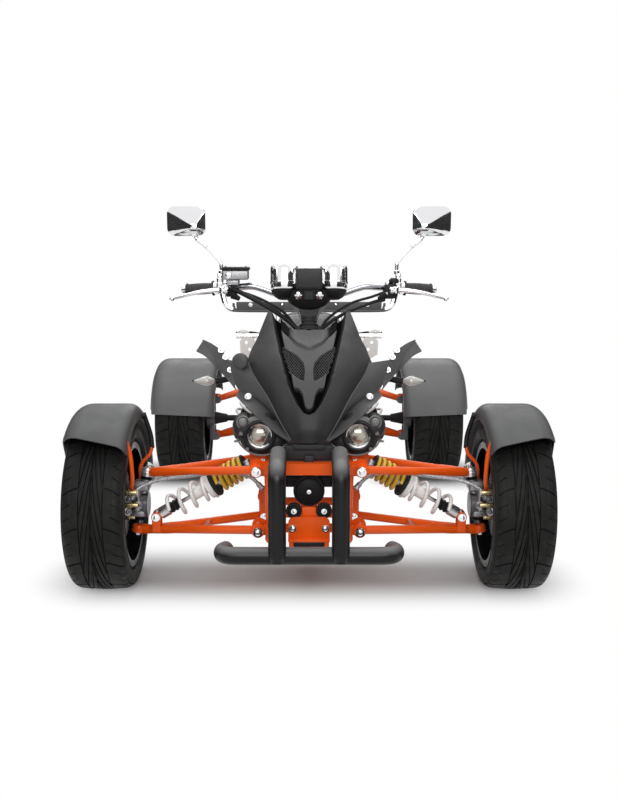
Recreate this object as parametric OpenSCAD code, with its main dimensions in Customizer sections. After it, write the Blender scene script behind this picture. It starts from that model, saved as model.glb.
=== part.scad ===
// Road quad bike, seen from the front along +Y. Sizes in mm, ground at z = 0, front towards -Y.
// Left and right are the rider's: left is +X.

/* [Whole] */
// Distance between the axles
wheelbase = 1330; // [1300:5:1360]
// How far the axles' middle lies behind the origin
axle_shift = 45; // [30:1:60]
// Width over the front tyres
front_width = 1300; // [1270:2:1330]
// Width over the rear tyres
rear_width = 1220; // [1200:2:1250]

/* [Wheels] */
// Tyre outside diameter
tyre_d = 473; // [465:1:480]
// Front tyre width
front_tyre_w = 165; // [158:1:172]
// Rear tyre width
rear_tyre_w = 195; // [188:1:202]
// Rim seat diameter
rim_d = 330; // [320:1:335]
// Radius of a tyre's shoulder
shoulder_r = 26; // [18:1:32]
// Radius of a tyre's crown seen in section
crown_r = 520; // [400:10:900]
// Spokes in a rim
spoke_count = 5; // [4:1:7]
// Wall of a rim
rim_wall = 7; // [5:1:9]
// Radius of a wheel spindle
spindle_r = 15; // [13:0.5:17]
// Radius of a hub
hub_r = 46; // [40:1:52]
// Radius of a brake disc
disc_r = 98; // [90:1:105]
// Thickness of a brake disc
disc_t = 4; // [3:0.5:6]

/* [Steering] */
// How far the kingpin's lower ball lies inside the tyre's inner face
kingpin_low_in = 7; // [4:1:12]
// How far the kingpin's upper ball lies inside the tyre's inner face
kingpin_high_in = 30; // [26:1:34]
// Height of the lower ball
ball_low_z = 190; // [185:1:195]
// Height of the upper ball
ball_high_z = 330; // [325:1:336]
// Caster, half the fore and aft spread of the balls
caster = 8; // [4:1:12]
// Length of a steering arm and of the column's arm
steer_arm = 85; // [80:1:90]
// Rake of the steering column
rake = 20; // [18:0.5:22]
// Radius of the column
column_r = 15; // [13:0.5:17]
// Half the spread of the inner tie rod pins
drag_half = 20; // [18:0.5:23]
// Radius of a tie rod
tie_r = 7; // [6:0.5:9]

/* [Suspension] */
// Radius of an upper arm's tube
upper_arm_r = 14; // [11:0.5:15]
// Radius of a lower arm's tube
lower_arm_r = 13; // [11:0.5:14]
// Radius of an arm's bush
bush_r = 16; // [14:0.5:17]
// Radius of a coil spring
coil_r = 31; // [28:0.5:33]
// Radius of a spring's wire
wire_r = 5; // [4:0.25:5.5]
// Radius of a damper's body
damper_r = 21; // [18:0.5:23]

/* [Frame] */
// Half the spread of the lower rails
rail_half = 100; // [97:1:104]
// Radius of a lower rail
rail_r = 15; // [13:0.5:16]
// Height of the lower rails
rail_z = 203; // [200:1:206]
// Radius of an upper rail
top_r = 14; // [12:0.5:15]
// Height of the front upper rails
top_z = 388; // [384:1:392]
// Radius of the bumper's tube
bumper_r = 21; // [19:0.5:23]
// Half the length of the bumper's low tube
bumper_half = 235; // [225:1:245]
// How far the bumper stands in front of the front axle
bumper_reach = 339; // [335:1:345]

/* [Bodywork] */
// Wall of a plastic panel
panel_wall = 3.5; // [3:0.1:4.5]
// Gap between a tyre and its fender
fender_gap = 44; // [40:1:50]
// Width of a front fender
front_fender_w = 180; // [176:1:184]
// Width of a rear fender
rear_fender_w = 224; // [218:1:230]
// Radius of a fender's corner
fender_corner = 34; // [26:1:38]
// Depth of a fender's side
fender_side = 46; // [40:1:52]

/* [Lamps] */
// Radius of a headlight lens
lens_r = 29; // [26:0.5:31]
// How far a headlight lies from the middle
lamp_x = 132; // [128:1:136]
// Height of the headlights
lamp_z = 456; // [452:1:460]

/* [Bars] */
// Radius of the handlebar's tube
bar_r = 11; // [10:0.5:12]
// Radius of a grip
grip_r = 16.5; // [15:0.5:18]
// Half the width of the handlebar
bar_half = 402; // [392:1:410]
// Radius of a gauge pod
gauge_r = 40; // [37:0.5:42]
// Distance between a gauge's axis and the middle
gauge_x = 77; // [75:0.5:80]
// Width of a mirror head
mirror_w = 120; // [112:1:128]
// Height of a mirror head
mirror_h = 88; // [80:1:94]

/* [Fits] */
// Running clearance of a shaft
run_gap = 0.1; // [0.05:0.01:0.2]
// Gap between pieces that are bolted together
seat_gap = 0.3; // [0.2:0.05:0.4]
// How much thicker a tube is in its bends
bend_lip = 0.25; // [0.2:0.05:0.4]
// Play round an outer tie rod pin
pin_play = 6; // [5.5:0.1:6.5]

/* [Hidden] */
$fn = 48;
bend_in = 2;
fy = axle_shift - wheelbase / 2;
ry = axle_shift + wheelbase / 2;
axle_z = tyre_d / 2;
front_x = front_width / 2 - front_tyre_w / 2;
rear_x = rear_width / 2 - rear_tyre_w / 2;
front_face = front_x - front_tyre_w / 2;
rear_face = rear_x - rear_tyre_w / 2;
ball_low = [front_face - kingpin_low_in, fy - caster, ball_low_z];
ball_high = [front_face - kingpin_high_in, fy + caster, ball_high_z];
kingpin = (ball_high - ball_low) / norm(ball_high - ball_low);
foot = [0, fy + 60, 329];
column_dir = [0, sin(rake), cos(rake)];
back_dir = [0, cos(rake), -sin(rake)];
bar_mid = foot + column_dir * 512;
arm_root = ball_low + kingpin * 112;
arm_dir = unit([0, 1, -kingpin.y / kingpin.z]);
arm_pin = arm_root + arm_dir * steer_arm;
drag_pin = foot + back_dir * steer_arm + [drag_half, 0, 0];
bush_low = [rail_half + rail_r + bush_r + 1, 0, 228];
bush_high = [rail_half + 5 + top_r + bush_r + 1, 0, top_z];
shock_low = [front_face - 60, fy - 33, 212];
shock_high = [150, fy - 40, 412];
rear_low = [rear_face - 15, ry, 165];
rear_high = [rear_face - 22, ry, 318];
rear_shock_low = [rear_face - 123, ry - 60, 220];
rear_shock_high = [150, ry - 62, 478];
fender_r = axle_z + fender_gap + panel_wall;
rear_fender_r = fender_r + 16;
hood_rows = [
  // half width, middle y, middle z, edge y, edge z
  [46, -205, 455, -190, 460],
  [75, -207, 495, -165, 504],
  [107, -184, 555, -115, 555],
  [166, -112, 640, 3, 638],
  [143, -22, 705, 74, 706],
  [118, 92, 752, 150, 770]
];
rack_z = 575;
tank_back = 520;
hood_w = 0;
hood_my = 1;
hood_mz = 2;
hood_ey = 3;
hood_ez = 4;

function unit(v) = v / norm(v);
function mix(a, b, t) = a + (b - a) * t;
function turn(p, i) = acos(unit(p[i] - p[i - 1]) * unit(p[i + 1] - p[i]));
function trim(p, i, bend) = i == 0 || i == len(p) - 1 ? 0 : bend * tan(turn(p, i) / 2);
// A point on a curve through the rows of a table, with t from 0 to the last row
function along(rows, t) = let (
  n = len(rows) - 1,
  i = min(floor(t), n - 1),
  f = t - i,
  b = rows[i],
  c = rows[i + 1],
  a = i > 0 ? rows[i - 1] : 2 * b - c,
  d = i < n - 1 ? rows[i + 2] : 2 * c - b
) b + 0.5 * f * (c - a + f * (2 * a - 5 * b + 4 * c - d + f * (3 * (b - c) + d - a)));
function normal_at(g, i, j) = unit(cross(
  g[min(i + 1, len(g) - 1)][j] - g[max(i - 1, 0)][j],
  g[i][min(j + 1, len(g[0]) - 1)] - g[i][max(j - 1, 0)]
));
function quad(a, b, c, d) = [[a, b, c], [a, c, d]];
// Points on a straight-sided patch between four corners, bulged by a given vector
function patch(c, bulge, m, n) = [for (i = [0 : m]) [for (j = [0 : n]) let (u = i / m, v = j / n)
  mix(mix(c[0], c[1], u), mix(c[3], c[2], u), v) + bulge * 16 * u * (1 - u) * v * (1 - v)]];

module side(s) {
  mirror([s < 0 ? 1 : 0, 0, 0]) children();
}

module pair() {
  for (s = [-1, 1]) side(s) children();
}

module rod(a, b, r) {
  d = b - a;
  translate(a) rotate([0, acos(d.z / norm(d)), atan2(d.y, d.x)]) cylinder(h = norm(d), r = r);
}

module aim(a, d) {
  translate(a) rotate([0, acos(d.z / norm(d)), atan2(d.y, d.x)]) children();
}

module bend_arc(p, i, r, bend) {
  u = unit(p[i] - p[i - 1]);
  v = unit(p[i + 1] - p[i]);
  n = unit(v - (v * u) * u);
  c = p[i] - u * trim(p, i, bend) + n * bend;
  z = cross(-n, u);
  multmatrix([
    [-n.x, u.x, z.x, c.x],
    [-n.y, u.y, z.y, c.y],
    [-n.z, u.z, z.z, c.z],
    [0, 0, 0, 1]
  ]) rotate_extrude(angle = turn(p, i)) translate([bend, 0]) circle(r + bend_lip);
}

// A tube bent at the inner points of a path
module bent_rod(p, r, bend) {
  for (i = [0 : len(p) - 2]) {
    u = unit(p[i + 1] - p[i]);
    start = i > 0 ? trim(p, i, bend) - bend_in : 0;
    stop = i < len(p) - 2 ? trim(p, i + 1, bend) - bend_in : 0;
    rod(p[i] + u * start, p[i + 1] - u * stop, r);
  }
  for (i = [1 : 1 : len(p) - 2]) bend_arc(p, i, r, bend);
}

// A sheet of even wall behind a grid of points
module sheet(g, wall) {
  m = len(g);
  n = len(g[0]);
  k = m * n;
  front = [for (row = g) each row];
  back = [for (i = [0 : m - 1]) for (j = [0 : n - 1]) g[i][j] - normal_at(g, i, j) * wall];
  faces = [
    for (i = [0 : m - 2]) for (j = [0 : n - 2]) let (a = i * n + j) each quad(a, a + n, a + n + 1, a + 1),
    for (i = [0 : m - 2]) for (j = [0 : n - 2]) let (a = k + i * n + j) each quad(a, a + 1, a + n + 1, a + n),
    for (i = [0 : m - 2]) let (a = i * n) each quad(a, k + a, k + a + n, a + n),
    for (i = [0 : m - 2]) let (a = i * n + n - 1) each quad(a, a + n, k + a + n, k + a),
    for (j = [0 : n - 2]) let (a = j) each quad(a, a + 1, k + a + 1, k + a),
    for (j = [0 : n - 2]) let (a = (m - 1) * n + j) each quad(a, k + a, k + a + 1, a + 1)
  ];
  polyhedron(concat(front, back), faces);
}

// A closed form through rings of points
module loft(rings) {
  n = len(rings[0]);
  last = (len(rings) - 1) * n;
  faces = [
    for (i = [0 : len(rings) - 2]) for (k = [0 : n - 1]) let (a = i * n + k, b = i * n + (k + 1) % n)
      each quad(a, b, b + n, a + n),
    [for (k = [n - 1 : -1 : 0]) k],
    [for (k = [0 : n - 1]) last + k]
  ];
  polyhedron([for (ring = rings) each ring], faces);
}

// A hose of eight sides along a path
module hose(p, r) {
  n = 14;
  path = [for (i = [0 : n]) along(p, (len(p) - 1) * i / n)];
  rings = [for (i = [0 : n]) let (
    d = unit(path[min(i + 1, n)] - path[max(i - 1, 0)]),
    e = unit(cross(d, [0.31, 0.17, 0.93])),
    f = cross(d, e)
  ) [for (k = [0 : 7]) path[i] + r * (e * cos(45 * k) + f * sin(45 * k))]];
  loft(rings);
}

// A coil spring between two heights on the z axis
module coil(z0, z1, turns, r) {
  steps = 12;
  sides = 6;
  rings = [for (i = [0 : turns * steps]) let (a = 360 * i / steps, z = mix(z0, z1, i / (turns * steps)))
    [for (k = [0 : sides - 1]) let (q = -360 * k / sides, d = r + wire_r * cos(q))
      [d * cos(a), d * sin(a), z + wire_r * sin(q)]]];
  loft(rings);
}

module tyre_section(w) {
  r = tyre_d / 2;
  bead = rim_d / 2 + seat_gap;
  step = 12;
  difference() {
    intersection() {
      union() {
        translate([bead, -w / 2]) square([r - shoulder_r - bead - 5, w]);
        translate([bead, shoulder_r - w / 2]) square([r - bead, w - 2 * shoulder_r]);
        for (s = [-1, 1]) translate([r - shoulder_r - 5, s * (w / 2 - shoulder_r)]) circle(shoulder_r);
      }
      translate([r - crown_r, 0]) circle(crown_r, $fn = 200);
    }
    for (s = [-1, 1]) translate([bead - 1, s * (w / 2 - step / 2 + 0.5) - step / 2 - 0.5]) square([19, step + 1]);
  }
}

module tyre(x, y, w) {
  translate([x, y, axle_z]) rotate([0, 90, 0]) rotate_extrude($fn = 120) tyre_section(w);
}

// A cast rim with its hub, with the spokes near the outer face
module rim(x, y, w, hub_in, disc) {
  r = rim_d / 2;
  half = w / 2 - 7.5;
  face = 26;
  translate([x, y, axle_z]) rotate([0, 90, 0]) {
    rotate_extrude($fn = 96) {
      translate([r - rim_wall, -half]) square([rim_wall, 2 * half]);
      translate([r - rim_wall, -half]) square([rim_wall + 10, 4]);
      translate([r - rim_wall, half - 4]) square([rim_wall + 10, 4]);
    }
    difference() {
      union() {
        translate([0, 0, -hub_in]) cylinder(r = hub_r, h = hub_in + face + 20);
        for (i = [0 : spoke_count - 1]) rotate(360 * i / spoke_count)
          translate([0, 0, face - 4]) linear_extrude(20)
            polygon([[hub_r - 12, -24], [r - 3, -13], [r - 3, 13], [hub_r - 12, 24]]);
        if (disc) translate([0, 0, -hub_in]) cylinder(r = disc_r, h = disc_t);
      }
      translate([0, 0, -hub_in - 1]) cylinder(r = spindle_r + run_gap, h = hub_in + face + 12);
    }
  }
}

function arc(c, r, a0, a1) = [for (i = [0 : 8]) c + r * [cos(mix(a0, a1, i / 8)), sin(mix(a0, a1, i / 8))]];
// The outline of a fender's section, flat on top with round corners and short sides
function fender_line(r, w, corner, low) = concat(
  [[low, -w / 2]],
  arc([r - corner, corner - w / 2], corner, -90, 0),
  arc([r - corner, w / 2 - corner], corner, 0, 90),
  [[low, w / 2]]
);

module fender(x, y, r, w, rear, front) {
  low = r - fender_side;
  inner = fender_line(r - panel_wall, w - 2 * panel_wall, fender_corner - panel_wall, low);
  n = len(inner) - 1;
  translate([x, y, axle_z]) rotate([0, 90, 0]) rotate(180 - rear)
    rotate_extrude(angle = rear + front, $fn = 96)
      polygon(concat(fender_line(r, w, fender_corner, low), [for (i = [n : -1 : 0]) inner[i]]));
}

module tyre_front_left() {
  color([0.05, 0.05, 0.05]) tyre(front_x, fy, front_tyre_w);
}

module tyre_front_right() {
  color([0.05, 0.05, 0.05]) tyre(-front_x, fy, front_tyre_w);
}

module tyre_rear_left() {
  color([0.05, 0.05, 0.05]) tyre(rear_x, ry, rear_tyre_w);
}

module tyre_rear_right() {
  color([0.05, 0.05, 0.05]) tyre(-rear_x, ry, rear_tyre_w);
}

module rim_front_left() {
  color([0.7, 0.7, 0.72]) rim(front_x, fy, front_tyre_w, 46, true);
}

module rim_front_right() {
  color([0.7, 0.7, 0.72]) side(-1) rim(front_x, fy, front_tyre_w, 46, true);
}

module rim_rear_left() {
  color([0.7, 0.7, 0.72]) rim(rear_x, ry, rear_tyre_w, 60, false);
}

module rim_rear_right() {
  color([0.7, 0.7, 0.72]) side(-1) rim(rear_x, ry, rear_tyre_w, 60, false);
}

// The steered upright with spindle, caliper and steering arm
module knuckle() {
  disc_x = front_x - 46;
  rod(ball_low - kingpin * 34, ball_high + kingpin * 34, 8);
  rod(ball_low - kingpin * 6, ball_high + kingpin * 6, 17);
  translate([ball_low.x - 28, fy, axle_z]) rotate([0, 90, 0]) cylinder(r = 36, h = disc_x - 16 - ball_low.x + 28);
  translate([ball_low.x, fy, axle_z]) rotate([0, 90, 0]) cylinder(r = spindle_r, h = front_x + 36 - ball_low.x);
  rod(arm_root, arm_pin, 9);
  rod(arm_pin - kingpin * 8, arm_pin + kingpin * 9, 13);
  rod(arm_pin, arm_pin + kingpin * 36, 5);
  difference() {
    union() {
      translate([disc_x - 26, fy - 110, axle_z - 2]) cube([52, 52, 86]);
      translate([disc_x - 26, fy - 90, axle_z - 12]) cube([12, 84, 44]);
    }
    translate([disc_x - 5, fy, axle_z]) rotate([0, 90, 0]) cylinder(r = disc_r + 6, h = disc_t + 10);
  }
}

module knuckle_left() {
  color([0.62, 0.63, 0.65]) knuckle();
}

module knuckle_right() {
  color([0.62, 0.63, 0.65]) side(-1) knuckle();
}

// The fender's two bolted struts
module fender_stay() {
  skirt = front_x - front_fender_w / 2;
  rows = [
    // foot on the upright, bend, head on the fender
    [ball_high + [-6, -24, -14], [skirt - 16, fy - 46, 396], [skirt - 8, fy - 52, 482]],
    [ball_high + [-6, 20, -14], [skirt - 30, fy + 70, 392], [skirt - 8, fy + 96, 462]]
  ];
  for (row = rows) {
    bent_rod([row[0] - [0, 0, 14], row[1], row[2]], 6, 24);
    translate(row[2]) rotate([0, 90, 0]) cylinder(r = 9, h = 8 - seat_gap);
  }
  rod(rows[0][0] + [0, 2, -14], rows[1][0] + [0, -2, -14], 6);
}

module fender_stay_left() {
  color([0.95, 0.36, 0.05]) difference() {
    fender_stay();
    rod(ball_low, ball_high + kingpin * 40, 17 + seat_gap);
    rod(arm_root, arm_pin, 9 + seat_gap);
  }
}

module fender_stay_right() {
  color([0.95, 0.36, 0.05]) side(-1) difference() {
    fender_stay();
    rod(ball_low, ball_high + kingpin * 40, 17 + seat_gap);
    rod(arm_root, arm_pin, 9 + seat_gap);
  }
}

module front_fender_left() {
  color([0.06, 0.06, 0.065]) fender(front_x, fy, fender_r, front_fender_w, 78, 42);
}

module front_fender_right() {
  color([0.06, 0.06, 0.065]) side(-1) fender(front_x, fy, fender_r, front_fender_w, 78, 42);
}

// A tie rod with a close eye on the column's arm and an open one round the knuckle's pin
module tie_rod() {
  out = arm_pin + kingpin * 22;
  inn = drag_pin + column_dir * 18;
  difference() {
    union() {
      rod(inn, out, tie_r);
      rod(inn - column_dir * 6, inn + column_dir * 6, 12);
      rod(out - kingpin * 6, out + kingpin * 6, 5 + pin_play + 4.5);
    }
    rod(inn - column_dir * 9, inn + column_dir * 9, 6 + run_gap);
    rod(out - kingpin * 14, out + kingpin * 14, 5 + pin_play);
  }
}

module tie_rod_left() {
  color([0.5, 0.5, 0.52]) tie_rod();
}

module tie_rod_right() {
  color([0.5, 0.5, 0.52]) side(-1) tie_rod();
}

// The column with its arm and the two drag pins
module steering_column() {
  color([0.08, 0.08, 0.08]) {
    rod(foot - column_dir * 46, bar_mid - column_dir * 16, column_r);
    hull() {
      rod(foot - column_dir * 6, foot + column_dir * 7.5, column_r + 7, $fn = 32);
      for (s = [-1, 1]) aim(foot + back_dir * steer_arm + [s * drag_half, 0, 0] - column_dir * 6, column_dir)
        cylinder(r = 13, h = 13.5, $fn = 32);
    }
    for (s = [-1, 1]) rod(foot + back_dir * steer_arm + [s * drag_half, 0, 0],
      foot + back_dir * steer_arm + [s * drag_half, 0, 0] + column_dir * 27, 6);
  }
}

gauge_tilt = 32;
gauge_mid = bar_mid + [0, -32, 77];
bar_rise = [168, bar_mid.y + 10, bar_mid.z + 26];
bar_end = [bar_half, bar_mid.y + 46, bar_mid.z + 12];
function on_bar(x) = mix(bar_rise, bar_end, (x - bar_rise.x) / (bar_end.x - bar_rise.x));
bar_dir = unit(bar_end - bar_rise);

module handlebar() {
  mid = [72, bar_mid.y, bar_mid.z];
  flip = [-1, 1, 1];
  color([0.12, 0.12, 0.13]) {
    bent_rod([
      [-bar_end.x, bar_end.y, bar_end.z], [-bar_rise.x, bar_rise.y, bar_rise.z], [-mid.x, mid.y, mid.z],
      mid, bar_rise, bar_end
    ], bar_r, 46);
  }
}

// The black bracket under the gauges, narrowing to the column
module bar_clamp() {
  color([0.07, 0.07, 0.075]) difference() {
    union() {
      translate(bar_mid) rotate([-rake, 0, 0]) translate([0, 34, -74]) rotate([90, 0, 0]) linear_extrude(68)
        polygon([[-24, 0], [24, 0], [34, 28], [62, 58], [62, 88], [-62, 88], [-62, 58], [-34, 28]]);
    }
    rod(foot, bar_mid - column_dir * (16 - seat_gap), column_r + seat_gap);
    rod([-200, bar_mid.y, bar_mid.z], [200, bar_mid.y, bar_mid.z], bar_r + seat_gap);
  }
}

module grips() {
  color([0.09, 0.09, 0.09]) pair() difference() {
    union() {
      rod(on_bar(292), on_bar(bar_half + 4), grip_r);
      rod(on_bar(286), on_bar(292), grip_r + 5);
    }
    rod(on_bar(270), bar_end + bar_dir * seat_gap, bar_r + seat_gap);
  }
}

// Perches with the reservoir, switches and mirror bosses
module hand_controls() {
  color([0.75, 0.76, 0.78]) difference() {
    union() {
      pair() {
        rod(on_bar(222), on_bar(276), grip_r + 1);
        translate(on_bar(250) + [-16, -50, -9]) cube([34, 50, 18]);
        rod(on_bar(264) + [0, -14, 0], on_bar(264) + [0, -14, 42], 9);
      }
      translate([-280, on_bar(240).y - 66, on_bar(240).z + 8]) cube([84, 52, 32]);
      translate([226, on_bar(240).y - 34, on_bar(240).z - 44]) cube([32, 36, 40]);
    }
    pair() rod(on_bar(180), on_bar(300), bar_r + seat_gap);
  }
}

// Chrome brake and clutch levers with ball ends
module levers() {
  color([0.85, 0.86, 0.88]) pair() {
    root = on_bar(258) + [0, -62.5, -6];
    bent_rod([root, root + [40, -8, -8], on_bar(bar_half) + [26, -58, -26]], 6, 26);
    translate(on_bar(bar_half) + [28, -58, -26]) sphere(9);
    translate(root + [-8, 0, -8]) cylinder(r = 11, h = 16);
  }
}

module mirrors() {
  color([0.86, 0.87, 0.9]) pair() {
    root = on_bar(264) + [0, -14, 42 + seat_gap];
    head = [378, root.y + 8, 1028];
    neck = head + [-34, 16, -mirror_h / 2 - seat_gap];
    bent_rod([root, root + [0, 0, 34], neck - [0, 0, 24], neck], 5.5, 24);
    hull() {
      for (x = [-1, 1]) for (z = [-1, 1])
        translate(head + [x * (mirror_w / 2 - 22), 12, z * (mirror_h / 2 - 22)]) rotate([-90, 0, 0])
          cylinder(r = 22, h = 8, $fn = 24);
      translate(head + [-10, -32, -6]) rotate([-90, 0, 0]) cylinder(r = 12, h = 4, $fn = 24);
    }
  }
}

// Two chrome pods that face the rider
module gauge_pods() {
  color([0.88, 0.88, 0.9]) pair() translate(gauge_mid) rotate([-gauge_tilt, 0, 0]) translate([gauge_x, 0, 0])
    rotate_extrude() difference() {
      union() {
        translate([0, -40]) square([gauge_r - 8, 70]);
        translate([0, -32]) square([gauge_r, 54]);
        translate([gauge_r - 8, 22]) circle(8);
        translate([gauge_r - 8, -32]) circle(8);
        translate([0, -4]) square([gauge_r + 1.5, 5]);
        translate([0, -46]) square([gauge_r - 14, 8]);
      }
      translate([-60, -80]) square([60, 160]);
      translate([0, 24]) square([gauge_r - 6, 10]);
    }
}

module gauge_box() {
  back = gauge_mid.y - 44;
  plate = -46 - seat_gap - 5;
  color([0.05, 0.05, 0.055]) {
    translate([-38, back - 34, gauge_mid.z - 48]) cube([76, 34, 62]);
    translate([-16, back - 4, gauge_mid.z - 40]) cube([32, 36, 24]);
    translate(gauge_mid) rotate([-gauge_tilt, 0, 0])
      translate([-gauge_x - 24, -20, plate]) cube([2 * gauge_x + 48, 40, 5]);
    rod(bar_mid - back_dir * (34 + seat_gap) + column_dir * 2, bar_mid - back_dir * 72 + column_dir * 2, 9);
  }
}

// The tube frame with its arm tabs, column bearings and tail
module main_frame() {
  front_lo = fy - 215;
  back_hi = ry + 140;
  ty = rail_half + 5;
  color([0.95, 0.36, 0.05]) {
    pair() {
      rod([rail_half, front_lo, rail_z], [rail_half, back_hi, rail_z], rail_r);
      bent_rod([[ty, front_lo, top_z], [ty, fy + 150, top_z], [95, fy + 270, 500], [95, fy + 770, 480],
        [108, ry + 42, 551]], top_r, 60);
      rod([ty, ry - 140, top_z], [ty, back_hi, top_z], top_r);
      rod([rail_half, fy - 200, rail_z], [ty, fy - 200, top_z], 12);
      rod([rail_half, fy + 178, rail_z], [ty - 1, fy + 178, 414], 12);
      rod([rail_half, ry - 130, rail_z], [105, ry - 130, 534], 12);
      rod([rail_half, back_hi - 12, rail_z], [ty, back_hi - 12, top_z], 12);
      rod([ty, back_hi - 12, top_z], [108, ry - 24, 544], 12);
      bent_rod([[ty, fy + 100, top_z], [40, fy + 194, 690], [35, fy + 199, 706]], 12, 60);
      for (y = [fy - 200, fy + 118]) tabs([bush_high.x, y, bush_high.z], ty);
      for (y = [fy - 200, fy + 138]) tabs([bush_low.x, y, bush_low.z], rail_half);
      for (y = [ry + 6, ry + 112]) tabs([bush_high.x, y, bush_high.z], ty);
      for (y = [ry - 118, ry + 118]) tabs([bush_low.x, y, bush_low.z], rail_half);
      for (c = [[fy + 320, 161.8], [fy + 560, 150.1]]) rod([95, c[0], 492], [c[1], c[0], 492], 8);
      shock_tabs(shock_high, [ty, shock_high.y, top_z]);
      shock_tabs(rear_shock_high, [105, rear_shock_high.y, 534]);
    }
    rod([-rail_half, fy - 185, 222], [rail_half, fy - 185, 222], 12);
    for (y = [fy + 150, fy + 560, ry - 160, ry + 125]) rod([-rail_half, y, rail_z], [rail_half, y, rail_z], 12);
    translate([-ty, front_lo - 2, top_z - 15]) cube([2 * ty, 30, 30]);
    rod([-95, fy + 640, 494.5], [95, fy + 640, 494.5], 11);
    rod([-100, ry - 150, 525], [100, ry - 150, 525], 11);
    foot_bearing();
    head_bearing();
  }
}

// Two lugs that hold an arm's bush
module tabs(c, rail_x) {
  for (s = [-1, 1]) translate([c.x, c.y + s * 24 - 3, c.z]) rotate([-90, 0, 0]) cylinder(r = bush_r + 3, h = 6);
  for (s = [-1, 1]) translate([rail_x, c.y + s * 24 - 3, c.z - 13]) cube([c.x - rail_x, 6, 26]);
  translate([c.x, c.y - 27, c.z]) rotate([-90, 0, 0]) cylinder(r = 6, h = 54);
}

module shock_tabs(c, root) {
  for (s = [-1, 1]) {
    translate([c.x, c.y + s * 17 - 3, c.z]) rotate([-90, 0, 0]) cylinder(r = 14, h = 6);
    translate([root.x, c.y + s * 17 - 3, min(c.z, root.z) - 8]) cube([c.x - root.x, 6, abs(c.z - root.z) + 20]);
  }
  translate([c.x, c.y - 20, c.z]) rotate([-90, 0, 0]) cylinder(r = 6, h = 40);
}

module foot_bearing() {
  base = foot - column_dir * 122;
  difference() {
    rod(base, foot - column_dir * 20, column_r + 9);
    rod(foot - column_dir * (46 + seat_gap), foot, column_r + run_gap);
  }
  rod([-rail_half, base.y, rail_z], [rail_half, base.y, rail_z], 12);
}

module head_bearing() {
  c = foot + column_dir * 404;
  difference() {
    union() {
      rod(c - column_dir * 18, c + column_dir * 18, column_r + 9);
      translate([-46, c.y - 10, c.z - 14]) cube([92, 26, 26]);
    }
    rod(c - column_dir * 60, c + column_dir * 60, column_r + run_gap);
  }
}

// The bolted plate under the nose
module front_plate() {
  color([0.95, 0.36, 0.05]) difference() {
    union() {
      translate([-50, fy - 236, 216]) cube([100, 5, 58]);
      translate([-36, fy - 236, 270]) cube([72, 5, 18]);
      for (s = [-1, 1]) translate([s * 36, fy - 231, 274]) rotate([90, 0, 0]) cylinder(r = 14, h = 5);
      for (s = [-1, 1]) translate([s * 40 - 5, fy - 232, 218]) cube([10, 35 - seat_gap, 8]);
    }
    for (s = [-1, 1]) translate([s * 36, fy - 225, 258]) rotate([90, 0, 0]) cylinder(r = 4.2, h = 20);
  }
}

module front_bumper() {
  y = fy - bumper_reach;
  low = 224;
  x = 76;
  color([0.06, 0.06, 0.065]) {
    bent_rod([[-bumper_half, y + 86, low + 14], [-bumper_half, y, low], [bumper_half, y, low],
      [bumper_half, y + 86, low + 14]], bumper_r, 52);
    pair() {
      bent_rod([[x, y - 2, low], [x, y + 12, 452 - bumper_r], [x, fy - 217 - 2 - seat_gap, 446 - bumper_r]],
        bumper_r - 1, 44);
      translate([x, fy - 217 - 6 - seat_gap, 388]) rotate([-90, 0, 0]) cylinder(r = 16, h = 6);
      translate([x - 14, fy - 217 - 14 - seat_gap, 386]) cube([28, 14, 40]);
    }
  }
}

module horn() {
  y = fy - 160;
  color([0.05, 0.05, 0.05]) {
    translate([0, y, 303]) rotate([90, 0, 0]) rotate_extrude() {
      square([46, 14]);
      square([41, 19]);
      square([12, 24]);
      translate([0, -16]) square([26, 17]);
    }
    translate([-12, y + 10, 300]) cube([24, 5, top_z - 15 - seat_gap - 300]);
    translate([-12, fy - 200, top_z - 15 - seat_gap - 5]) cube([24, 200 - 150 + 5, 5]);
  }
}

// Both arms of each front wheel
module front_arms() {
  up = ball_high + kingpin * 22;
  down = ball_low - kingpin * 22;
  color([0.95, 0.36, 0.05]) pair() {
    difference() {
      union() {
        wishbone(bush_high, [fy - 200, fy + 118], up + [-3, 0, 6], upper_arm_r);
        rod(up - kingpin * 10, up + kingpin * 22, 20);
      }
      rod(up - kingpin * 24, up + kingpin * 30, 8 + run_gap);
    }
    difference() {
      union() {
        wishbone(bush_low, [fy - 200, fy + 138], down + [-3, 0, -6], lower_arm_r);
        rod(down - kingpin * 21, down + kingpin * 10, 20);
        brace = mix(down, [bush_low.x, fy - 200, bush_low.z], 0.5);
        rod(brace, mix(down, [bush_low.x, fy + 138, bush_low.z], 0.5), 10);
        for (s = [-1, 1]) translate([shock_low.x - 12, shock_low.y + s * 17 - 3, shock_low.z - 34]) cube([24, 6, 34]);
        for (s = [-1, 1]) translate([shock_low.x, shock_low.y + s * 17 - 3, shock_low.z])
          rotate([-90, 0, 0]) cylinder(r = 14, h = 6);
        translate([shock_low.x, shock_low.y - 20, shock_low.z]) rotate([-90, 0, 0]) cylinder(r = 6, h = 40);
      }
      rod(down + kingpin * 24, down - kingpin * 30, 8 + run_gap);
    }
  }
}

// Two tubes from an outer point to two bushes on the frame
module wishbone(bush, ys, out, r) {
  for (y = ys) difference() {
    union() {
      rod([bush.x, y, bush.z], out, r);
      translate([bush.x, y - 20.5, bush.z]) rotate([-90, 0, 0]) cylinder(r = bush_r, h = 41);
    }
    for (s = [-1, 1]) translate([bush.x - 40, y + s * 40 - 19.3, bush.z - 40]) cube([66, 38.6, 80]);
    translate([bush.x, y - 30, bush.z]) rotate([-90, 0, 0]) cylinder(r = 6 + run_gap, h = 60);
  }
}

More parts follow.
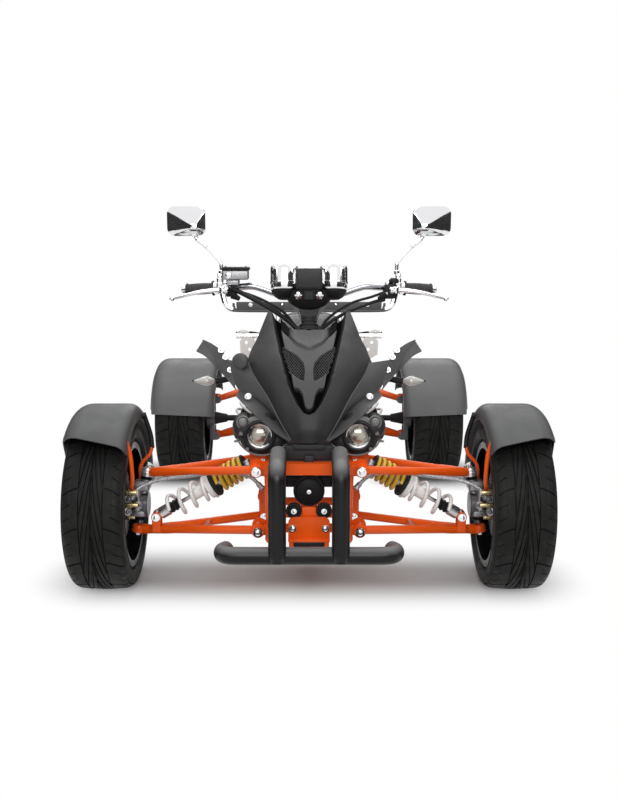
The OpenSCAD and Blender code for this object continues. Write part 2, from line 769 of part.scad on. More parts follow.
module rear_arms() {
  color([0.95, 0.36, 0.05]) pair() {
    difference() {
      union() {
        wishbone(bush_high, [ry + 6, ry + 112], rear_high + [-20, 0, 0], upper_arm_r - 2);
        translate(rear_high + [-16, -22, 0]) rotate([-90, 0, 0]) cylinder(r = 17, h = 44);
      }
      translate(rear_high + [-16, -30, 0]) rotate([-90, 0, 0]) cylinder(r = 7 + run_gap, h = 60);
    }
    difference() {
      union() {
        wishbone(bush_low, [ry - 118, ry + 118], rear_low + [-20, 0, 0], lower_arm_r);
        translate(rear_low + [-16, -22, 0]) rotate([-90, 0, 0]) cylinder(r = 17, h = 44);
        for (s = [-1, 1]) translate([rear_shock_low.x - 14, rear_shock_low.y + s * 17 - 3, rear_shock_low.z - 44])
          cube([28, 6, 44]);
        for (s = [-1, 1]) translate([rear_shock_low.x, rear_shock_low.y + s * 17 - 3, rear_shock_low.z])
          rotate([-90, 0, 0]) cylinder(r = 14, h = 6);
        translate(rear_shock_low - [0, 20, 0]) rotate([-90, 0, 0]) cylinder(r = 6, h = 40);
      }
      translate(rear_low + [-16, -30, 0]) rotate([-90, 0, 0]) cylinder(r = 7 + run_gap, h = 60);
    }
  }
}

// A damper between two eyes, with its spring plates
module damper(a, b) {
  d = unit(b - a);
  long = norm(b - a);
  difference() {
    union() {
      for (c = [a, b]) translate(c - [0, 13.5, 0]) rotate([-90, 0, 0]) cylinder(r = 13, h = 27);
      aim(a, d) {
        translate([0, 0, 8]) cylinder(r = 9, h = long - 16);
        translate([0, 0, 26]) cylinder(r = damper_r - 5, h = 24);
        translate([0, 0, 44]) cylinder(r = coil_r + wire_r + 1, h = 6);
        translate([0, 0, long * 0.52]) cylinder(r = damper_r, h = long * 0.48 - 24);
        translate([0, 0, long - 40]) cylinder(r = coil_r + wire_r + 1, h = 7);
      }
    }
    for (c = [a, b]) translate(c - [0, 30, 0]) rotate([-90, 0, 0]) cylinder(r = 6 + run_gap, h = 60);
  }
}

module dampers() {
  color([0.7, 0.71, 0.73]) pair() {
    damper(shock_low, shock_high);
    damper(rear_shock_low, rear_shock_high);
  }
}

module coil_springs() {
  color([0.92, 0.92, 0.9]) pair() {
    for (row = [[shock_low, shock_high], [rear_shock_low, rear_shock_high]])
      aim(row[0], row[1] - row[0]) coil(50 + wire_r + seat_gap, norm(row[1] - row[0]) - 40 - wire_r - seat_gap, 7, coil_r);
  }
}

// The rear uprights with their spindles
module rear_carriers() {
  color([0.4, 0.41, 0.43]) pair() {
    difference() {
      union() {
        translate([rear_face - 22, ry, axle_z]) rotate([0, 90, 0]) cylinder(r = 44, h = 28);
        translate([rear_face - 20, ry, axle_z]) rotate([0, 90, 0]) cylinder(r = spindle_r, h = rear_x + 36 - rear_face + 20);
        for (c = [rear_low, rear_high]) for (s = [-1, 1])
          translate([c.x - 16, ry + s * 30 - 6, c.z]) rotate([-90, 0, 0]) cylinder(r = 15, h = 12);
        for (s = [-1, 1]) translate([rear_face - 26, ry + s * 30 - 6, rear_low.z]) cube([20, 12, rear_high.z - rear_low.z]);
        for (c = [rear_low, rear_high]) for (s = [-1, 1])
          translate([c.x - 16, ry + s * 30 - 6, c.z - 15]) cube([rear_face - 6 - c.x + 16, 12, 30]);
        translate([rear_face - 26, ry - 36, axle_z - 30]) cube([14, 72, 60]);
      }
      for (c = [rear_low, rear_high]) translate([c.x - 16, ry - 40, c.z]) rotate([-90, 0, 0]) cylinder(r = 7, h = 80);
    }
    for (c = [rear_low, rear_high]) translate([c.x - 16, ry - 40, c.z]) rotate([-90, 0, 0]) cylinder(r = 7, h = 80);
  }
}

module rear_drive() {
  color([0.3, 0.3, 0.32]) {
    translate([-72, ry, axle_z + 8]) rotate([0, 90, 0]) cylinder(r = 62, h = 144);
    translate([-50, ry - 128, axle_z - 40]) cube([100, 100, 96]);
    pair() {
      translate([70, ry, axle_z]) rotate([0, 90, 0]) cylinder(r = 17, h = 62);
      translate([120, ry, axle_z]) rotate([0, 90, 0]) cylinder(r = 12, h = rear_face - 26 - seat_gap - 120);
      translate([rear_face - 76 - seat_gap, ry, axle_z]) rotate([0, 90, 0]) cylinder(r1 = 16, r2 = 26, h = 50);
    }
  }
}

// The engine as one plain block with barrel, head and covers
module engine() {
  color([0.33, 0.33, 0.35]) {
    translate([-78, fy + 380, rail_z + 12 + seat_gap]) cube([156, 400, 370 - rail_z - 12 - seat_gap]);
    translate([-62, fy + 430, 368]) cube([124, 130, 110]);
    for (i = [0 : 6]) translate([-70, fy + 422, 378 + i * 13]) cube([140, 146, 5]);
    for (s = [-1, 1]) translate([s * 76, fy + 530 + s * 40, 312]) rotate([0, s * 90, 0]) cylinder(r = 74, h = 44);
    translate([-50, fy + 740, 230]) cube([100, ry - 128 - seat_gap - fy - 740, 70]);
  }
}

module exhaust() {
  color([0.66, 0.65, 0.63]) {
    bent_rod([[-30, fy + 568 + seat_gap, 430], [-30, fy + 640, 430], [-48, ry - 290, 410], [0, ry - 20, 430]], 19, 50);
    rod([0, ry - 30, 430], [0, ry + 190, 448], 58);
    rod([0, ry + 180, 447], [0, ry + 220, 450], 24);
    for (s = [-1, 1]) translate([s * 70 - 16, ry + 122, top_z + 30]) cube([32, 6, 30]);
  }
}

function hood_at(u, t) = let (r = along(hood_rows, t), f = 1 - pow(abs(u), 2.3))
  [r[hood_w] * u, fy + mix(r[hood_ey], r[hood_my], f), mix(r[hood_ez], r[hood_mz], f)];
function hood_grid(m, n, lift) = [for (i = [0 : m]) [for (j = [0 : n])
  hood_at(1 - 2 * j / n, i * (len(hood_rows) - 1) / m) + lift]];

// The V of the nose insert as seen from the front
module scoop_outline(grow) {
  offset(delta = grow) polygon([[0, 508], [44, 560], [58, 640], [84, 780], [-84, 780], [-58, 640], [-44, 560]]);
}

module facing(y) {
  translate([0, y, 0]) rotate([90, 0, 0]) children();
}

module nose_cowl() {
  color([0.07, 0.07, 0.075]) difference() {
    sheet(hood_grid(15, 16, [0, 0, 0]), panel_wall);
    facing(fy + 400) linear_extrude(700) scoop_outline(0);
  }
}

module eye_outline() {
  polygon([[16, 590], [18, 622], [30, 640], [48, 656], [72, 664], [62, 634], [44, 604]]);
}

// The recessed V panel with its two eyes
module scoop_panel() {
  color([0.06, 0.06, 0.065]) intersection() {
    sheet(hood_grid(15, 16, [0, 4.1, -2.8]), panel_wall);
    facing(fy + 400) linear_extrude(700) difference() {
      scoop_outline(14);
      eye_outline();
      mirror([1, 0, 0]) eye_outline();
    }
  }
}

// The wire mesh in the two eyes
module scoop_mesh() {
  color([0.1, 0.1, 0.1]) pair() translate([0, fy - 64.5, 647.6]) rotate([-40, 0, 8]) rotate([90, 0, 0])
    linear_extrude(2) translate([0, -640]) intersection() {
      offset(delta = 5) eye_outline();
      union() {
        for (i = [-8 : 8]) translate([44 + i * 9, 627]) rotate(45) square([1.6, 200], center = true);
        for (i = [-8 : 8]) translate([44 + i * 9, 627]) rotate(-45) square([1.6, 200], center = true);
      }
    }
}

// The panels outside the nose's creases, with their upswept fins
module side_wings() {
  n = 8;
  inner = [for (i = [0 : n]) hood_at(1, 3 * i / n) + [0.65, 0.8, -0.5]];
  lower = [
    // outer edge under the crease
    [58, fy - 176, 452],
    [96, fy - 118, 486],
    [146, fy - 60, 520],
    [201, fy + 2, 548]
  ];
  wing = [for (i = [0 : n]) [for (j = [0 : 4]) let (q = along(lower, 3 * i / n))
    mix(q, inner[i], j / 4) + [6, -8, 2] * sin(45 * j)]];
  fin = patch([[202, fy + 4, 552], [340, fy + 232, 645], [318, fy + 252, 680], [180.9, fy + 24, 632]],
    [10, 16, -14], 8, 5);
  color([0.07, 0.07, 0.075]) pair() {
    sheet(wing, panel_wall);
    sheet(fin, panel_wall);
  }
}

module headlight_pods() {
  y = fy - 150;
  color([0.06, 0.06, 0.065]) pair() difference() {
    union() {
      hull() {
        translate([lamp_x, y + 10, lamp_z]) rotate([-90, 0, 0]) cylinder(r = 44, h = 74, $fn = 32);
        translate([184, y + 50, lamp_z + 24]) rotate([-90, 0, 0]) cylinder(r = 23, h = 50, $fn = 32);
        translate([76, y + 30, lamp_z - 14]) rotate([-90, 0, 0]) cylinder(r = 15, h = 50, $fn = 32);
      }
      translate([lamp_x, y - 4, lamp_z]) rotate([-90, 0, 0]) cylinder(r = lens_r + 10, h = 30);
      translate([78, fy - 215, top_z + 15 + seat_gap]) cube([24, 106, 7]);
      translate([78, y + 16, top_z + 15 + seat_gap]) cube([24, 24, 44]);
      translate([9, fy - 199.1, top_z + 16 + seat_gap]) cube([75, 6, 5]);
      translate([9, fy - 199.1, top_z + 16 + seat_gap]) cube([9, 6, 62]);
    }
    translate([lamp_x, y - 10, lamp_z]) rotate([-90, 0, 0]) cylinder(r = lens_r + seat_gap, h = 40);
  }
}

module headlight_lenses() {
  y = fy - 150;
  color([0.85, 0.88, 0.9]) pair() translate([lamp_x, y + 30 - seat_gap, lamp_z]) rotate([90, 0, 0]) intersection() {
    cylinder(r = lens_r, h = 40);
    translate([0, 0, -30]) sphere(r = 64, $fn = 96);
  }
}

// Leaf-shaped turn lamps on short stalks
module leaf(l, h, t) {
  intersection() {
    translate([0, 0, -l * l / h / 8 + h / 4]) rotate([90, 0, 0]) cylinder(r = l * l / h / 8 + h / 4, h = t, center = true, $fn = 96);
    translate([0, 0, l * l / h / 8 - h / 4]) rotate([90, 0, 0]) cylinder(r = l * l / h / 8 + h / 4, h = t, center = true, $fn = 96);
  }
}

module indicators() {
  color([0.85, 0.83, 0.8]) pair() {
    translate([318, fy + 180, 546]) leaf(92, 32, 34);
    rod([174, fy + 180, 548], [318, fy + 180, 546], 6);
    translate([272, ry + 36, 602]) leaf(96, 28, 34);
    aim([268, ry + 26, rack_z], [0, 10, 27]) translate([0, 0, 11 + seat_gap]) cylinder(r = 6, h = 17);
  }
}

module filler_cap() {
  color([0.08, 0.08, 0.08]) translate([-198, fy, 628]) rotate([90, 0, -12]) {
    cylinder(r = 23, h = 16);
  }
}

// The knee panels between the nose and the seat
module side_panels() {
  rows = [
    // y, low x, low z, high x, high z
    [fy + 12, 172, 606, 166, 640],
    [fy + 90, 178, 560, 142, 708],
    [fy + 170, 176, 520, 120, 742],
    [fy + 300, 168, 486, 118, 706],
    [fy + 480, 158, 468, 120, 660],
    [fy + 620, 150, 470, 124, 616]
  ];
  g = [for (i = [0 : 12]) let (r = along(rows, 5 * i / 12)) [for (j = [0 : 5]) let (v = j / 5)
    [mix(r[1], r[3], v) + 12 * sin(180 * v), r[0], mix(r[2], r[4], v)]]];
  color([0.07, 0.07, 0.075]) pair() sheet([for (row = g) row], panel_wall);
}

// A rounded bar section of given half width and heights, for the tank and seat
function hump(y, w, top, low) = [for (k = [0 : 15]) let (a = 360 * k / 16)
  [w * sign(cos(a)) * pow(abs(cos(a)), 0.6), y, mix(low, top, 0.5 + 0.5 * sign(sin(a)) * pow(abs(sin(a)), 0.6))]];

module tank() {
  rows = [
    // way behind the front axle, half width, top, foot
    [248, 84, 676, 520],
    [270, 104, 700, 506],
    [360, 112, 704, 502],
    [470, 106, 676, 502],
    [tank_back, 92, 640, 506]
  ];
  color([0.6, 0.6, 0.58]) loft([for (r = rows) hump(fy + r[0], r[1], r[2], r[3])]);
}

module seat() {
  front = fy + tank_back + seat_gap + 0.1;
  step = ry - 290;
  rows = [
    // share of the way to the step, way behind the step, half width, top, foot
    [0, 0, 84, 640, 510],
    [0.057, 0, 100, 652, 506],
    [0.269, 0, 118, 622, 506],
    [0.538, 0, 138, 610, 510],
    [0.769, 0, 142, 622, 522],
    [0.885, 0, 138, 650, 536],
    [1, 0, 130, 672, 578],
    [1, 140, 118, 682, 588],
    [1, 220, 96, 676, 600],
    [1, 236, 78, 660, 612]
  ];
  color([0.09, 0.09, 0.09]) loft([for (r = rows) hump(mix(front, step, r[0]) + r[1], r[2], r[3], r[4])]);
}

module tail_cowl() {
  rows = [
    // way behind the rear axle, half width, top
    [-292, 142, 566],
    [-230, 142, 572],
    [-110, 140, 588],
    [10, 138, 604],
    [90, 130, 612]
  ];
  g = [for (r = rows) [for (j = [0 : 12]) let (a = 180 * j / 12, e = pow(abs(cos(a)), 0.35) * sign(cos(a)))
    [r[1] * e, ry + r[0], r[2] - 38 * (1 - pow(sin(a), 0.35))]]];
  color([0.07, 0.07, 0.075]) difference() {
    sheet(g, panel_wall);
    rod([-300, ry + 26, rack_z], [300, ry + 26, rack_z], 11 + seat_gap);
  }
}

module tail_lamp() {
  color([0.7, 0.05, 0.05]) translate([-60, ry + 70, 566]) cube([120, 48, 40.1]);
}

module rear_rack() {
  y = ry + 190;
  color([0.8, 0.8, 0.82]) {
    bent_rod([[-372, y + 10, 748], [-352, y, 672], [352, y, 672], [372, y + 10, 748]], 11, 40);
    bent_rod([[-330, y, 672], [-330, y + 79, 676], [330, y + 79, 676], [330, y, 672]], 11, 40);
    pair() bent_rod([[150, ry + 26, rack_z], [150, ry + 166, 610], [150, y + 79, 674]], 11, 40);
    rod([-300, ry + 26, rack_z], [300, ry + 26, rack_z], 11);
  }
}

module rack_plate() {
  y = ry + 190 - 11 - seat_gap;
  color([0.05, 0.05, 0.05]) difference() {
    translate([-318, y - 4, 644]) cube([636, 4, 52]);
    for (i = [-5 : 5]) translate([i * 54, y - 10, 658]) rotate([-90, 0, 0]) cylinder(r = 7, h = 20);
    for (i = [-5 : 5]) translate([i * 54 + 20, y - 10, 684]) rotate([-90, 0, 0]) cylinder(r = 5, h = 20);
  }
}

module rack_brackets() {
  color([0.75, 0.76, 0.77]) pair() difference() {
    translate([230, ry + 26 - 11 - 5 - seat_gap, 500]) cube([58, 5, 88]);
    for (z = [520, 544]) translate([258, ry - 20, z]) rotate([-90, 0, 0]) cylinder(r = 8, h = 60);
  }
}

module rear_fenders() {
  color([0.06, 0.06, 0.065]) pair() fender(rear_x, ry, rear_fender_r, rear_fender_w, 60, 76);
}

module rear_fender_stays() {
  skirt = rear_x - rear_fender_w / 2;
  color([0.95, 0.36, 0.05]) pair() {
    for (row = [[-60, 500], [70, 494]]) {
      bent_rod([[rear_face - 16, ry + sign(row[0]) * 30, 335.3 + seat_gap], [skirt - 10, ry + row[0] * 0.7, 400],
        [skirt - 9, ry + row[0], row[1]]], 7, 20);
      translate([skirt - 9, ry + row[0], row[1]]) rotate([0, 90, 0]) cylinder(r = 10, h = 9 - seat_gap);
    }
  }
}

module footrests() {
  color([0.1, 0.1, 0.1]) pair() {
    rod([rail_half + rail_r + seat_gap, fy + 500, rail_z], [330, fy + 500, 220], 13);
    translate([210, fy + 470, 218]) cube([120, 62, 12]);
    translate([328, fy + 456, 212]) cube([6, 90, 26]);
  }
}

// The hoses from the frame to the steered uprights
module brake_hose() {
  x = rail_half + 16 + 5 + seat_gap;
  hose([[x, fy - 188, 330], [212, fy - 138, 296], [front_face - 155, fy - 122, 316], [front_face - 61, fy - 112, 334],
    [front_x - 46 - 26 - seat_gap - 3.1, fy - 88, 296]], 5);
}

module brake_hose_left() {
  color([0.7, 0.7, 0.72]) brake_hose();
}

module brake_hose_right() {
  color([0.7, 0.7, 0.72]) side(-1) brake_hose();
}

module control_cables() {
  c = on_bar(240);
  color([0.05, 0.05, 0.05]) {
    hose([[-on_bar(250).x + 16 + 4, on_bar(250).y - 36, on_bar(250).z - 1], [-190, c.y - 50, c.z - 18],
      [-104, c.y - 72, 768], [-42, c.y - 80, 722], [-30, c.y - 90, 680]], 7);
    hose([[226 - 3, c.y - 18, c.z - 34], [176, c.y - 42, c.z - 46], [98, c.y - 68, 756], [40, c.y - 80, 716],
      [28, c.y - 90, 680]], 5);
  }
}

tyre_front_left();
tyre_front_right();
tyre_rear_left();
tyre_rear_right();
rim_front_left();
rim_front_right();
rim_rear_left();
rim_rear_right();
knuckle_left();
knuckle_right();
fender_stay_left();
fender_stay_right();
front_fender_left();
front_fender_right();
tie_rod_left();
tie_rod_right();
steering_column();
handlebar();
bar_clamp();
grips();
hand_controls();
levers();
mirrors();
gauge_pods();
gauge_box();
main_frame();
front_plate();
front_bumper();
horn();
front_arms();
rear_arms();
dampers();
coil_springs();
rear_carriers();
rear_drive();
engine();
exhaust();
nose_cowl();
scoop_panel();
scoop_mesh();
side_wings();
headlight_pods();
headlight_lenses();
indicators();
filler_cap();
side_panels();
tank();
seat();
tail_cowl();
tail_lamp();
rear_rack();
rack_plate();
rack_brackets();
rear_fenders();
rear_fender_stays();
footrests();
brake_hose_left();
brake_hose_right();
control_cables();
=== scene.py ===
import math

import bmesh
import bpy
from mathutils import Matrix, Vector


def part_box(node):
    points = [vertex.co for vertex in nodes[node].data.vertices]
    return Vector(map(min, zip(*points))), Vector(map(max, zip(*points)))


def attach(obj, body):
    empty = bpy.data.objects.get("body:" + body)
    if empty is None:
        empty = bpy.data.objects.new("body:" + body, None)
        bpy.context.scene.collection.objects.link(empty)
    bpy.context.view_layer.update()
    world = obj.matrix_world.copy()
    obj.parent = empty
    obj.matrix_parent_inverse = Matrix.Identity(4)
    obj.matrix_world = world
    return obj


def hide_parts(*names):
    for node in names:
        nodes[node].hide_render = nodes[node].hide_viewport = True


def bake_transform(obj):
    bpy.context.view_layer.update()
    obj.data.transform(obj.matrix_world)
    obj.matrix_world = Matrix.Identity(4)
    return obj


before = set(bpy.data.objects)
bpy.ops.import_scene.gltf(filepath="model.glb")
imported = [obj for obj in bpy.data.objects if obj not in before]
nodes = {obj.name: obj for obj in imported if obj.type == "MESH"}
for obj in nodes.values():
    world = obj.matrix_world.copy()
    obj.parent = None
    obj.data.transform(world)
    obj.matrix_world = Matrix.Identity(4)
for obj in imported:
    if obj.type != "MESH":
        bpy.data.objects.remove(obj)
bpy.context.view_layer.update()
print("frame loaded:", len(nodes), "nodes")


# Shader sockets that work in plain expressions
class Val:
    def __init__(self, shade, socket):
        self.shade = shade
        self.socket = socket

    def work(self, operation, a, b):
        return self.shade.node("ShaderNodeMath", {"operation": operation}, {0: a, 1: b})

    def __add__(self, other):
        return self.work("ADD", self, other)

    def __mul__(self, other):
        return self.work("MULTIPLY", self, other)

    def __sub__(self, other):
        return self.work("SUBTRACT", self, other)

    def __rsub__(self, other):
        return self.work("SUBTRACT", other, self)

    def __pow__(self, other):
        return self.work("POWER", self, other)

    __radd__ = __add__
    __rmul__ = __mul__


class Shade:
    def __init__(self, name):
        self.material = bpy.data.materials.new(name)
        self.material.use_nodes = True
        self.tree = self.material.node_tree
        self.surface = self.tree.nodes["Principled BSDF"]
        self.outcome = self.tree.nodes["Material Output"]

    # any node: its settings first, then the values or links of its inputs
    def node(self, kind, settings=None, inputs=None, out=0):
        made = self.tree.nodes.new(kind)
        for key, value in (settings or {}).items():
            setattr(made, key, value)
        for key, value in (inputs or {}).items():
            self.join(made.inputs[key], value)
        return Val(self, made.outputs[out])

    def join(self, socket, value):
        if isinstance(value, Val):
            self.tree.links.new(value.socket, socket)
        else:
            socket.default_value = value

    def set(self, **inputs):
        for key, value in inputs.items():
            self.join(self.surface.inputs[key.replace("_", " ")], value)

    def place(self):
        return self.node("ShaderNodeTexCoord", out=3)

    def part(self, axis):
        return self.node("ShaderNodeSeparateXYZ", None, {0: self.place()}, out="XYZ".index(axis))

    def noise(self, scale, detail):
        return self.node("ShaderNodeTexNoise", None,
                         {"Vector": self.place(), "Scale": scale, "Detail": detail})

    def span(self, value, low, high, to0=0.0, to1=1.0):
        return self.node("ShaderNodeMapRange", {"interpolation_type": "SMOOTHSTEP"},
                         {0: value, 1: low, 2: high, 3: to0, 4: to1})

    def mix(self, factor, a, b):
        return self.node("ShaderNodeMix", {"data_type": "RGBA"}, {0: factor, 6: a, 7: b}, out=2)

    def size(self, value):
        return self.node("ShaderNodeMath", {"operation": "ABSOLUTE"}, {0: value})

    def larger(self, a, b):
        return self.node("ShaderNodeMath", {"operation": "MAXIMUM"}, {0: a, 1: b})

    def bump(self, height, strength, distance=0.001):
        return self.node("ShaderNodeBump", None,
                         {"Strength": strength, "Distance": distance, "Height": height})


def rgb(r, g, b):
    return (r, g, b, 1.0)


# tint, tint of the patches, least and most roughness, then what differs from plain plastic
finishes = {
    "cowlPlastic": dict(tint=rgb(0.020, 0.020, 0.021), patch=rgb(0.028, 0.028, 0.029), rough=(0.40, 0.52),
                        grain=1500, dent=0.12, gloss=0.26),
    "nosePlastic": dict(tint=rgb(0.015, 0.015, 0.016), patch=rgb(0.022, 0.022, 0.023), rough=(0.40, 0.52),
                        grain=1500, dent=0.12, gloss=0.30, paintedLightAndShade=True),
    "wingPlastic": dict(tint=rgb(0.068, 0.068, 0.070), patch=rgb(0.084, 0.084, 0.086), rough=(0.40, 0.52),
                        grain=1500, dent=0.12, gloss=0.35),
    "fenderPlastic": dict(tint=rgb(0.054, 0.055, 0.057), patch=rgb(0.070, 0.071, 0.073), rough=(0.42, 0.55),
                          grain=1300, dent=0.14, gloss=0.4),
    "rearFender": dict(tint=rgb(0.098, 0.099, 0.101), patch=rgb(0.118, 0.119, 0.121), rough=(0.42, 0.55),
                       grain=1300, dent=0.14, gloss=0.4),
    "turnGlass": dict(tint=rgb(0.62, 0.61, 0.58), patch=rgb(0.50, 0.49, 0.46), rough=(0.10, 0.2), grain=260,
                      dent=0.1, coat=0.8),
    "podGrey": dict(tint=rgb(0.15, 0.15, 0.147), patch=rgb(0.19, 0.19, 0.187), rough=(0.34, 0.48),
                    grain=1100, dent=0.1, gloss=0.4),
    "softBlack": dict(tint=rgb(0.008, 0.008, 0.009), patch=rgb(0.013, 0.013, 0.014), rough=(0.42, 0.58),
                      grain=1100, dent=0.15, gloss=0.2),
    "treadRubber": dict(tint=rgb(0.007, 0.007, 0.007), patch=rgb(0.012, 0.012, 0.011), rough=(0.46, 0.62),
                        grain=900, dent=0.25, dust=0.05, gloss=0.14),
    "gripRubber": dict(tint=rgb(0.030, 0.030, 0.030), patch=rgb(0.045, 0.045, 0.044), rough=(0.6, 0.75),
                       grain=1400, dent=0.3),
    "orangePaint": dict(tint=rgb(0.90, 0.110, 0.004), patch=rgb(0.82, 0.092, 0.004), rough=(0.28, 0.40),
                        grain=420, dent=0.05, coat=0.14, dust=0.02, gloss=0.22),
    # satin black gets a painted highlight on its upward faces
    "satinBlack": dict(tint=rgb(0.004, 0.004, 0.004), patch=rgb(0.007, 0.007, 0.007), rough=(0.30, 0.42),
                       grain=600, dent=0.05, coat=0.04, gloss=0.22, paintedTopHighlight=rgb(0.15, 0.15, 0.15)),
    "chrome": dict(tint=rgb(0.88, 0.88, 0.89), patch=rgb(0.78, 0.78, 0.80), rough=(0.05, 0.12), metal=1.0,
                   grain=300, dent=0.012),
    "darkChrome": dict(tint=rgb(0.44, 0.44, 0.46), patch=rgb(0.36, 0.36, 0.38), rough=(0.10, 0.18),
                       metal=1.0, grain=300, dent=0.012),
    "brightAlloy": dict(tint=rgb(0.78, 0.78, 0.79), patch=rgb(0.66, 0.66, 0.68), rough=(0.24, 0.36),
                        metal=1.0, grain=700, dent=0.06),
    # the rims' inner band, in metres from the middle: inward of it the barrel gets painted shade
    "frontRim": dict(tint=rgb(0.70, 0.70, 0.71), patch=rgb(0.58, 0.58, 0.60), rough=(0.24, 0.36),
                     metal=0.85, grain=700, dent=0.06, inner=(0.560, 0.600)),
    "rearRim": dict(tint=rgb(0.70, 0.70, 0.71), patch=rgb(0.58, 0.58, 0.60), rough=(0.24, 0.36), metal=0.85,
                    grain=700, dent=0.06, inner=(0.500, 0.545)),
    "castAlloy": dict(tint=rgb(0.40, 0.40, 0.41), patch=rgb(0.26, 0.26, 0.27), rough=(0.34, 0.52),
                      metal=0.9, grain=520, dent=0.22, dust=0.08),
    "darkSteel": dict(tint=rgb(0.16, 0.16, 0.17), patch=rgb(0.10, 0.10, 0.11), rough=(0.32, 0.5),
                      metal=0.85, grain=500, dent=0.12),
    "zincBrass": dict(tint=rgb(0.62, 0.52, 0.27), patch=rgb(0.50, 0.43, 0.25), rough=(0.22, 0.36),
                      metal=1.0, grain=420, dent=0.08),
    "brakeSteel": dict(tint=rgb(0.58, 0.58, 0.59), patch=rgb(0.42, 0.42, 0.43), rough=(0.2, 0.36),
                       metal=1.0, grain=800, dent=0.08),
    "coilWhite": dict(tint=rgb(0.90, 0.90, 0.89), patch=rgb(0.84, 0.84, 0.82), rough=(0.28, 0.4), grain=500,
                      dent=0.05, coat=0.3),
    "coilYellow": dict(tint=rgb(0.83, 0.52, 0.02), patch=rgb(0.72, 0.42, 0.015), rough=(0.28, 0.4),
                       grain=500, dent=0.05, coat=0.3),
    "tankGrey": dict(tint=rgb(0.37, 0.37, 0.345), patch=rgb(0.33, 0.33, 0.31), rough=(0.25, 0.34),
                     grain=700, dent=0.04, coat=0.5),
    "pipeSteel": dict(tint=rgb(0.56, 0.54, 0.50), patch=rgb(0.42, 0.38, 0.33), rough=(0.24, 0.42),
                      metal=1.0, grain=260, dent=0.08),
    "engineGrey": dict(tint=rgb(0.12, 0.12, 0.125), patch=rgb(0.085, 0.085, 0.088), rough=(0.4, 0.58),
                       metal=0.5, grain=420, dent=0.25),
    "redLamp": dict(tint=rgb(0.42, 0.008, 0.008), patch=rgb(0.30, 0.005, 0.005), rough=(0.12, 0.2),
                    grain=240, dent=0.05, coat=0.8),
    "blackGlass": dict(tint=rgb(0.010, 0.010, 0.011), patch=rgb(0.016, 0.016, 0.017), rough=(0.05, 0.1),
                       grain=200, dent=0.01, coat=1.0),
    "mirrorGlass": dict(tint=rgb(0.80, 0.82, 0.84), patch=rgb(0.74, 0.76, 0.78), rough=(0.02, 0.05),
                        metal=1.0, grain=60, dent=0.004),
    "warmGlass": dict(tint=rgb(0.46, 0.42, 0.36), patch=rgb(0.38, 0.35, 0.30), rough=(0.08, 0.16),
                      metal=0.6, grain=120, dent=0.01, coat=1.0),
    "wireMesh": dict(tint=rgb(0.10, 0.10, 0.10), patch=rgb(0.07, 0.07, 0.07), rough=(0.35, 0.5), metal=0.7,
                     grain=800, dent=0.1),
}
dustTone = rgb(0.30, 0.28, 0.25)


def makeFinish(name, tint, patch, rough, grain, dent, metal=0.0, coat=0.0, dust=0.0, gloss=0.5,
               paintedLightAndShade=False, inner=None, paintedTopHighlight=None):
    shade = Shade(name)
    mottle = shade.noise(7.0, 5)
    fine = shade.noise(grain, 2)
    tone = shade.mix(mottle, tint, patch)
    if dust:
        low = shade.span(shade.part("Z"), 0.02, 0.42, 1.0, 0.0)
        tone = shade.mix(low * shade.span(shade.noise(38.0, 6), 0.42, 0.72) * dust, tone, dustTone)
    # painted light on the nose: where the vertex value is below nought, the tone goes paler on the insert and
    # the collar's middle
    if paintedLightAndShade:
        deep = shade.node("ShaderNodeAttribute", {"attribute_name": "paintedLightAndShade"}, out=2)
        tone = shade.mix(shade.span(deep, -1.0, 0.0, 1.0, 0.0), tone, rgb(0.056, 0.056, 0.057))
    # painted shade: the rim's barrel inward of the band is made nearly black
    if inner:
        tone = shade.mix(shade.span(shade.size(shade.part("X")), inner[0], inner[1]),
                         rgb(0.006, 0.006, 0.006), tone)
    if paintedTopHighlight:                                               # painted highlight: paler where the surface faces up, in place of the reflection of the light above
        rise = shade.node("ShaderNodeSeparateXYZ", None, {0: shade.node("ShaderNodeTexCoord", out=1)}, out=2)
        tone = shade.mix(shade.span(rise, 0.15, 1.0), tone, paintedTopHighlight)
    worn = shade.span(shade.noise(22.0, 4), 0.3, 0.7, rough[0], rough[1])
    shade.set(Base_Color=tone, Roughness=worn, Metallic=metal, Coat_Weight=coat, Coat_Roughness=0.12,
              Specular_IOR_Level=gloss, Normal=shade.bump(fine, dent))
    # painted shade on the nose: where the vertex value is above nought, a dark matt surface is mixed over the
    # grooves, the eyes and the collar's flanks
    if paintedLightAndShade:
        paintedShadeSurface = shade.node("ShaderNodeBsdfDiffuse", None, {"Color": rgb(0.004, 0.004, 0.004)})
        both = shade.node("ShaderNodeMixShader", None,
                          {0: shade.span(deep, 0.0, 1.0), 1: Val(shade, shade.surface.outputs[0]), 2: paintedShadeSurface})
        shade.join(shade.outcome.inputs[0], both)
    return shade.material


looks = {name: makeFinish(name, **settings) for name, settings in finishes.items()}


def clearFinish():
    shade = Shade("lampGlass")
    tone = shade.mix(shade.noise(40.0, 3), rgb(0.96, 0.95, 0.93), rgb(0.90, 0.89, 0.87))
    shade.set(Base_Color=tone, Roughness=0.02, IOR=1.47, Transmission_Weight=1.0)
    return shade.material


def braidFinish():
    shade = Shade("braidedHose")
    checks = shade.node("ShaderNodeTexVoronoi", None, {"Vector": shade.place(), "Scale": 620.0})
    tone = shade.mix(shade.span(checks, 0.1, 0.7), rgb(0.62, 0.62, 0.63), rgb(0.16, 0.16, 0.17))
    shade.set(Base_Color=tone, Roughness=shade.span(checks, 0.0, 0.8, 0.25, 0.5), Metallic=0.85,
              Normal=shade.bump(checks, 0.4))
    return shade.material


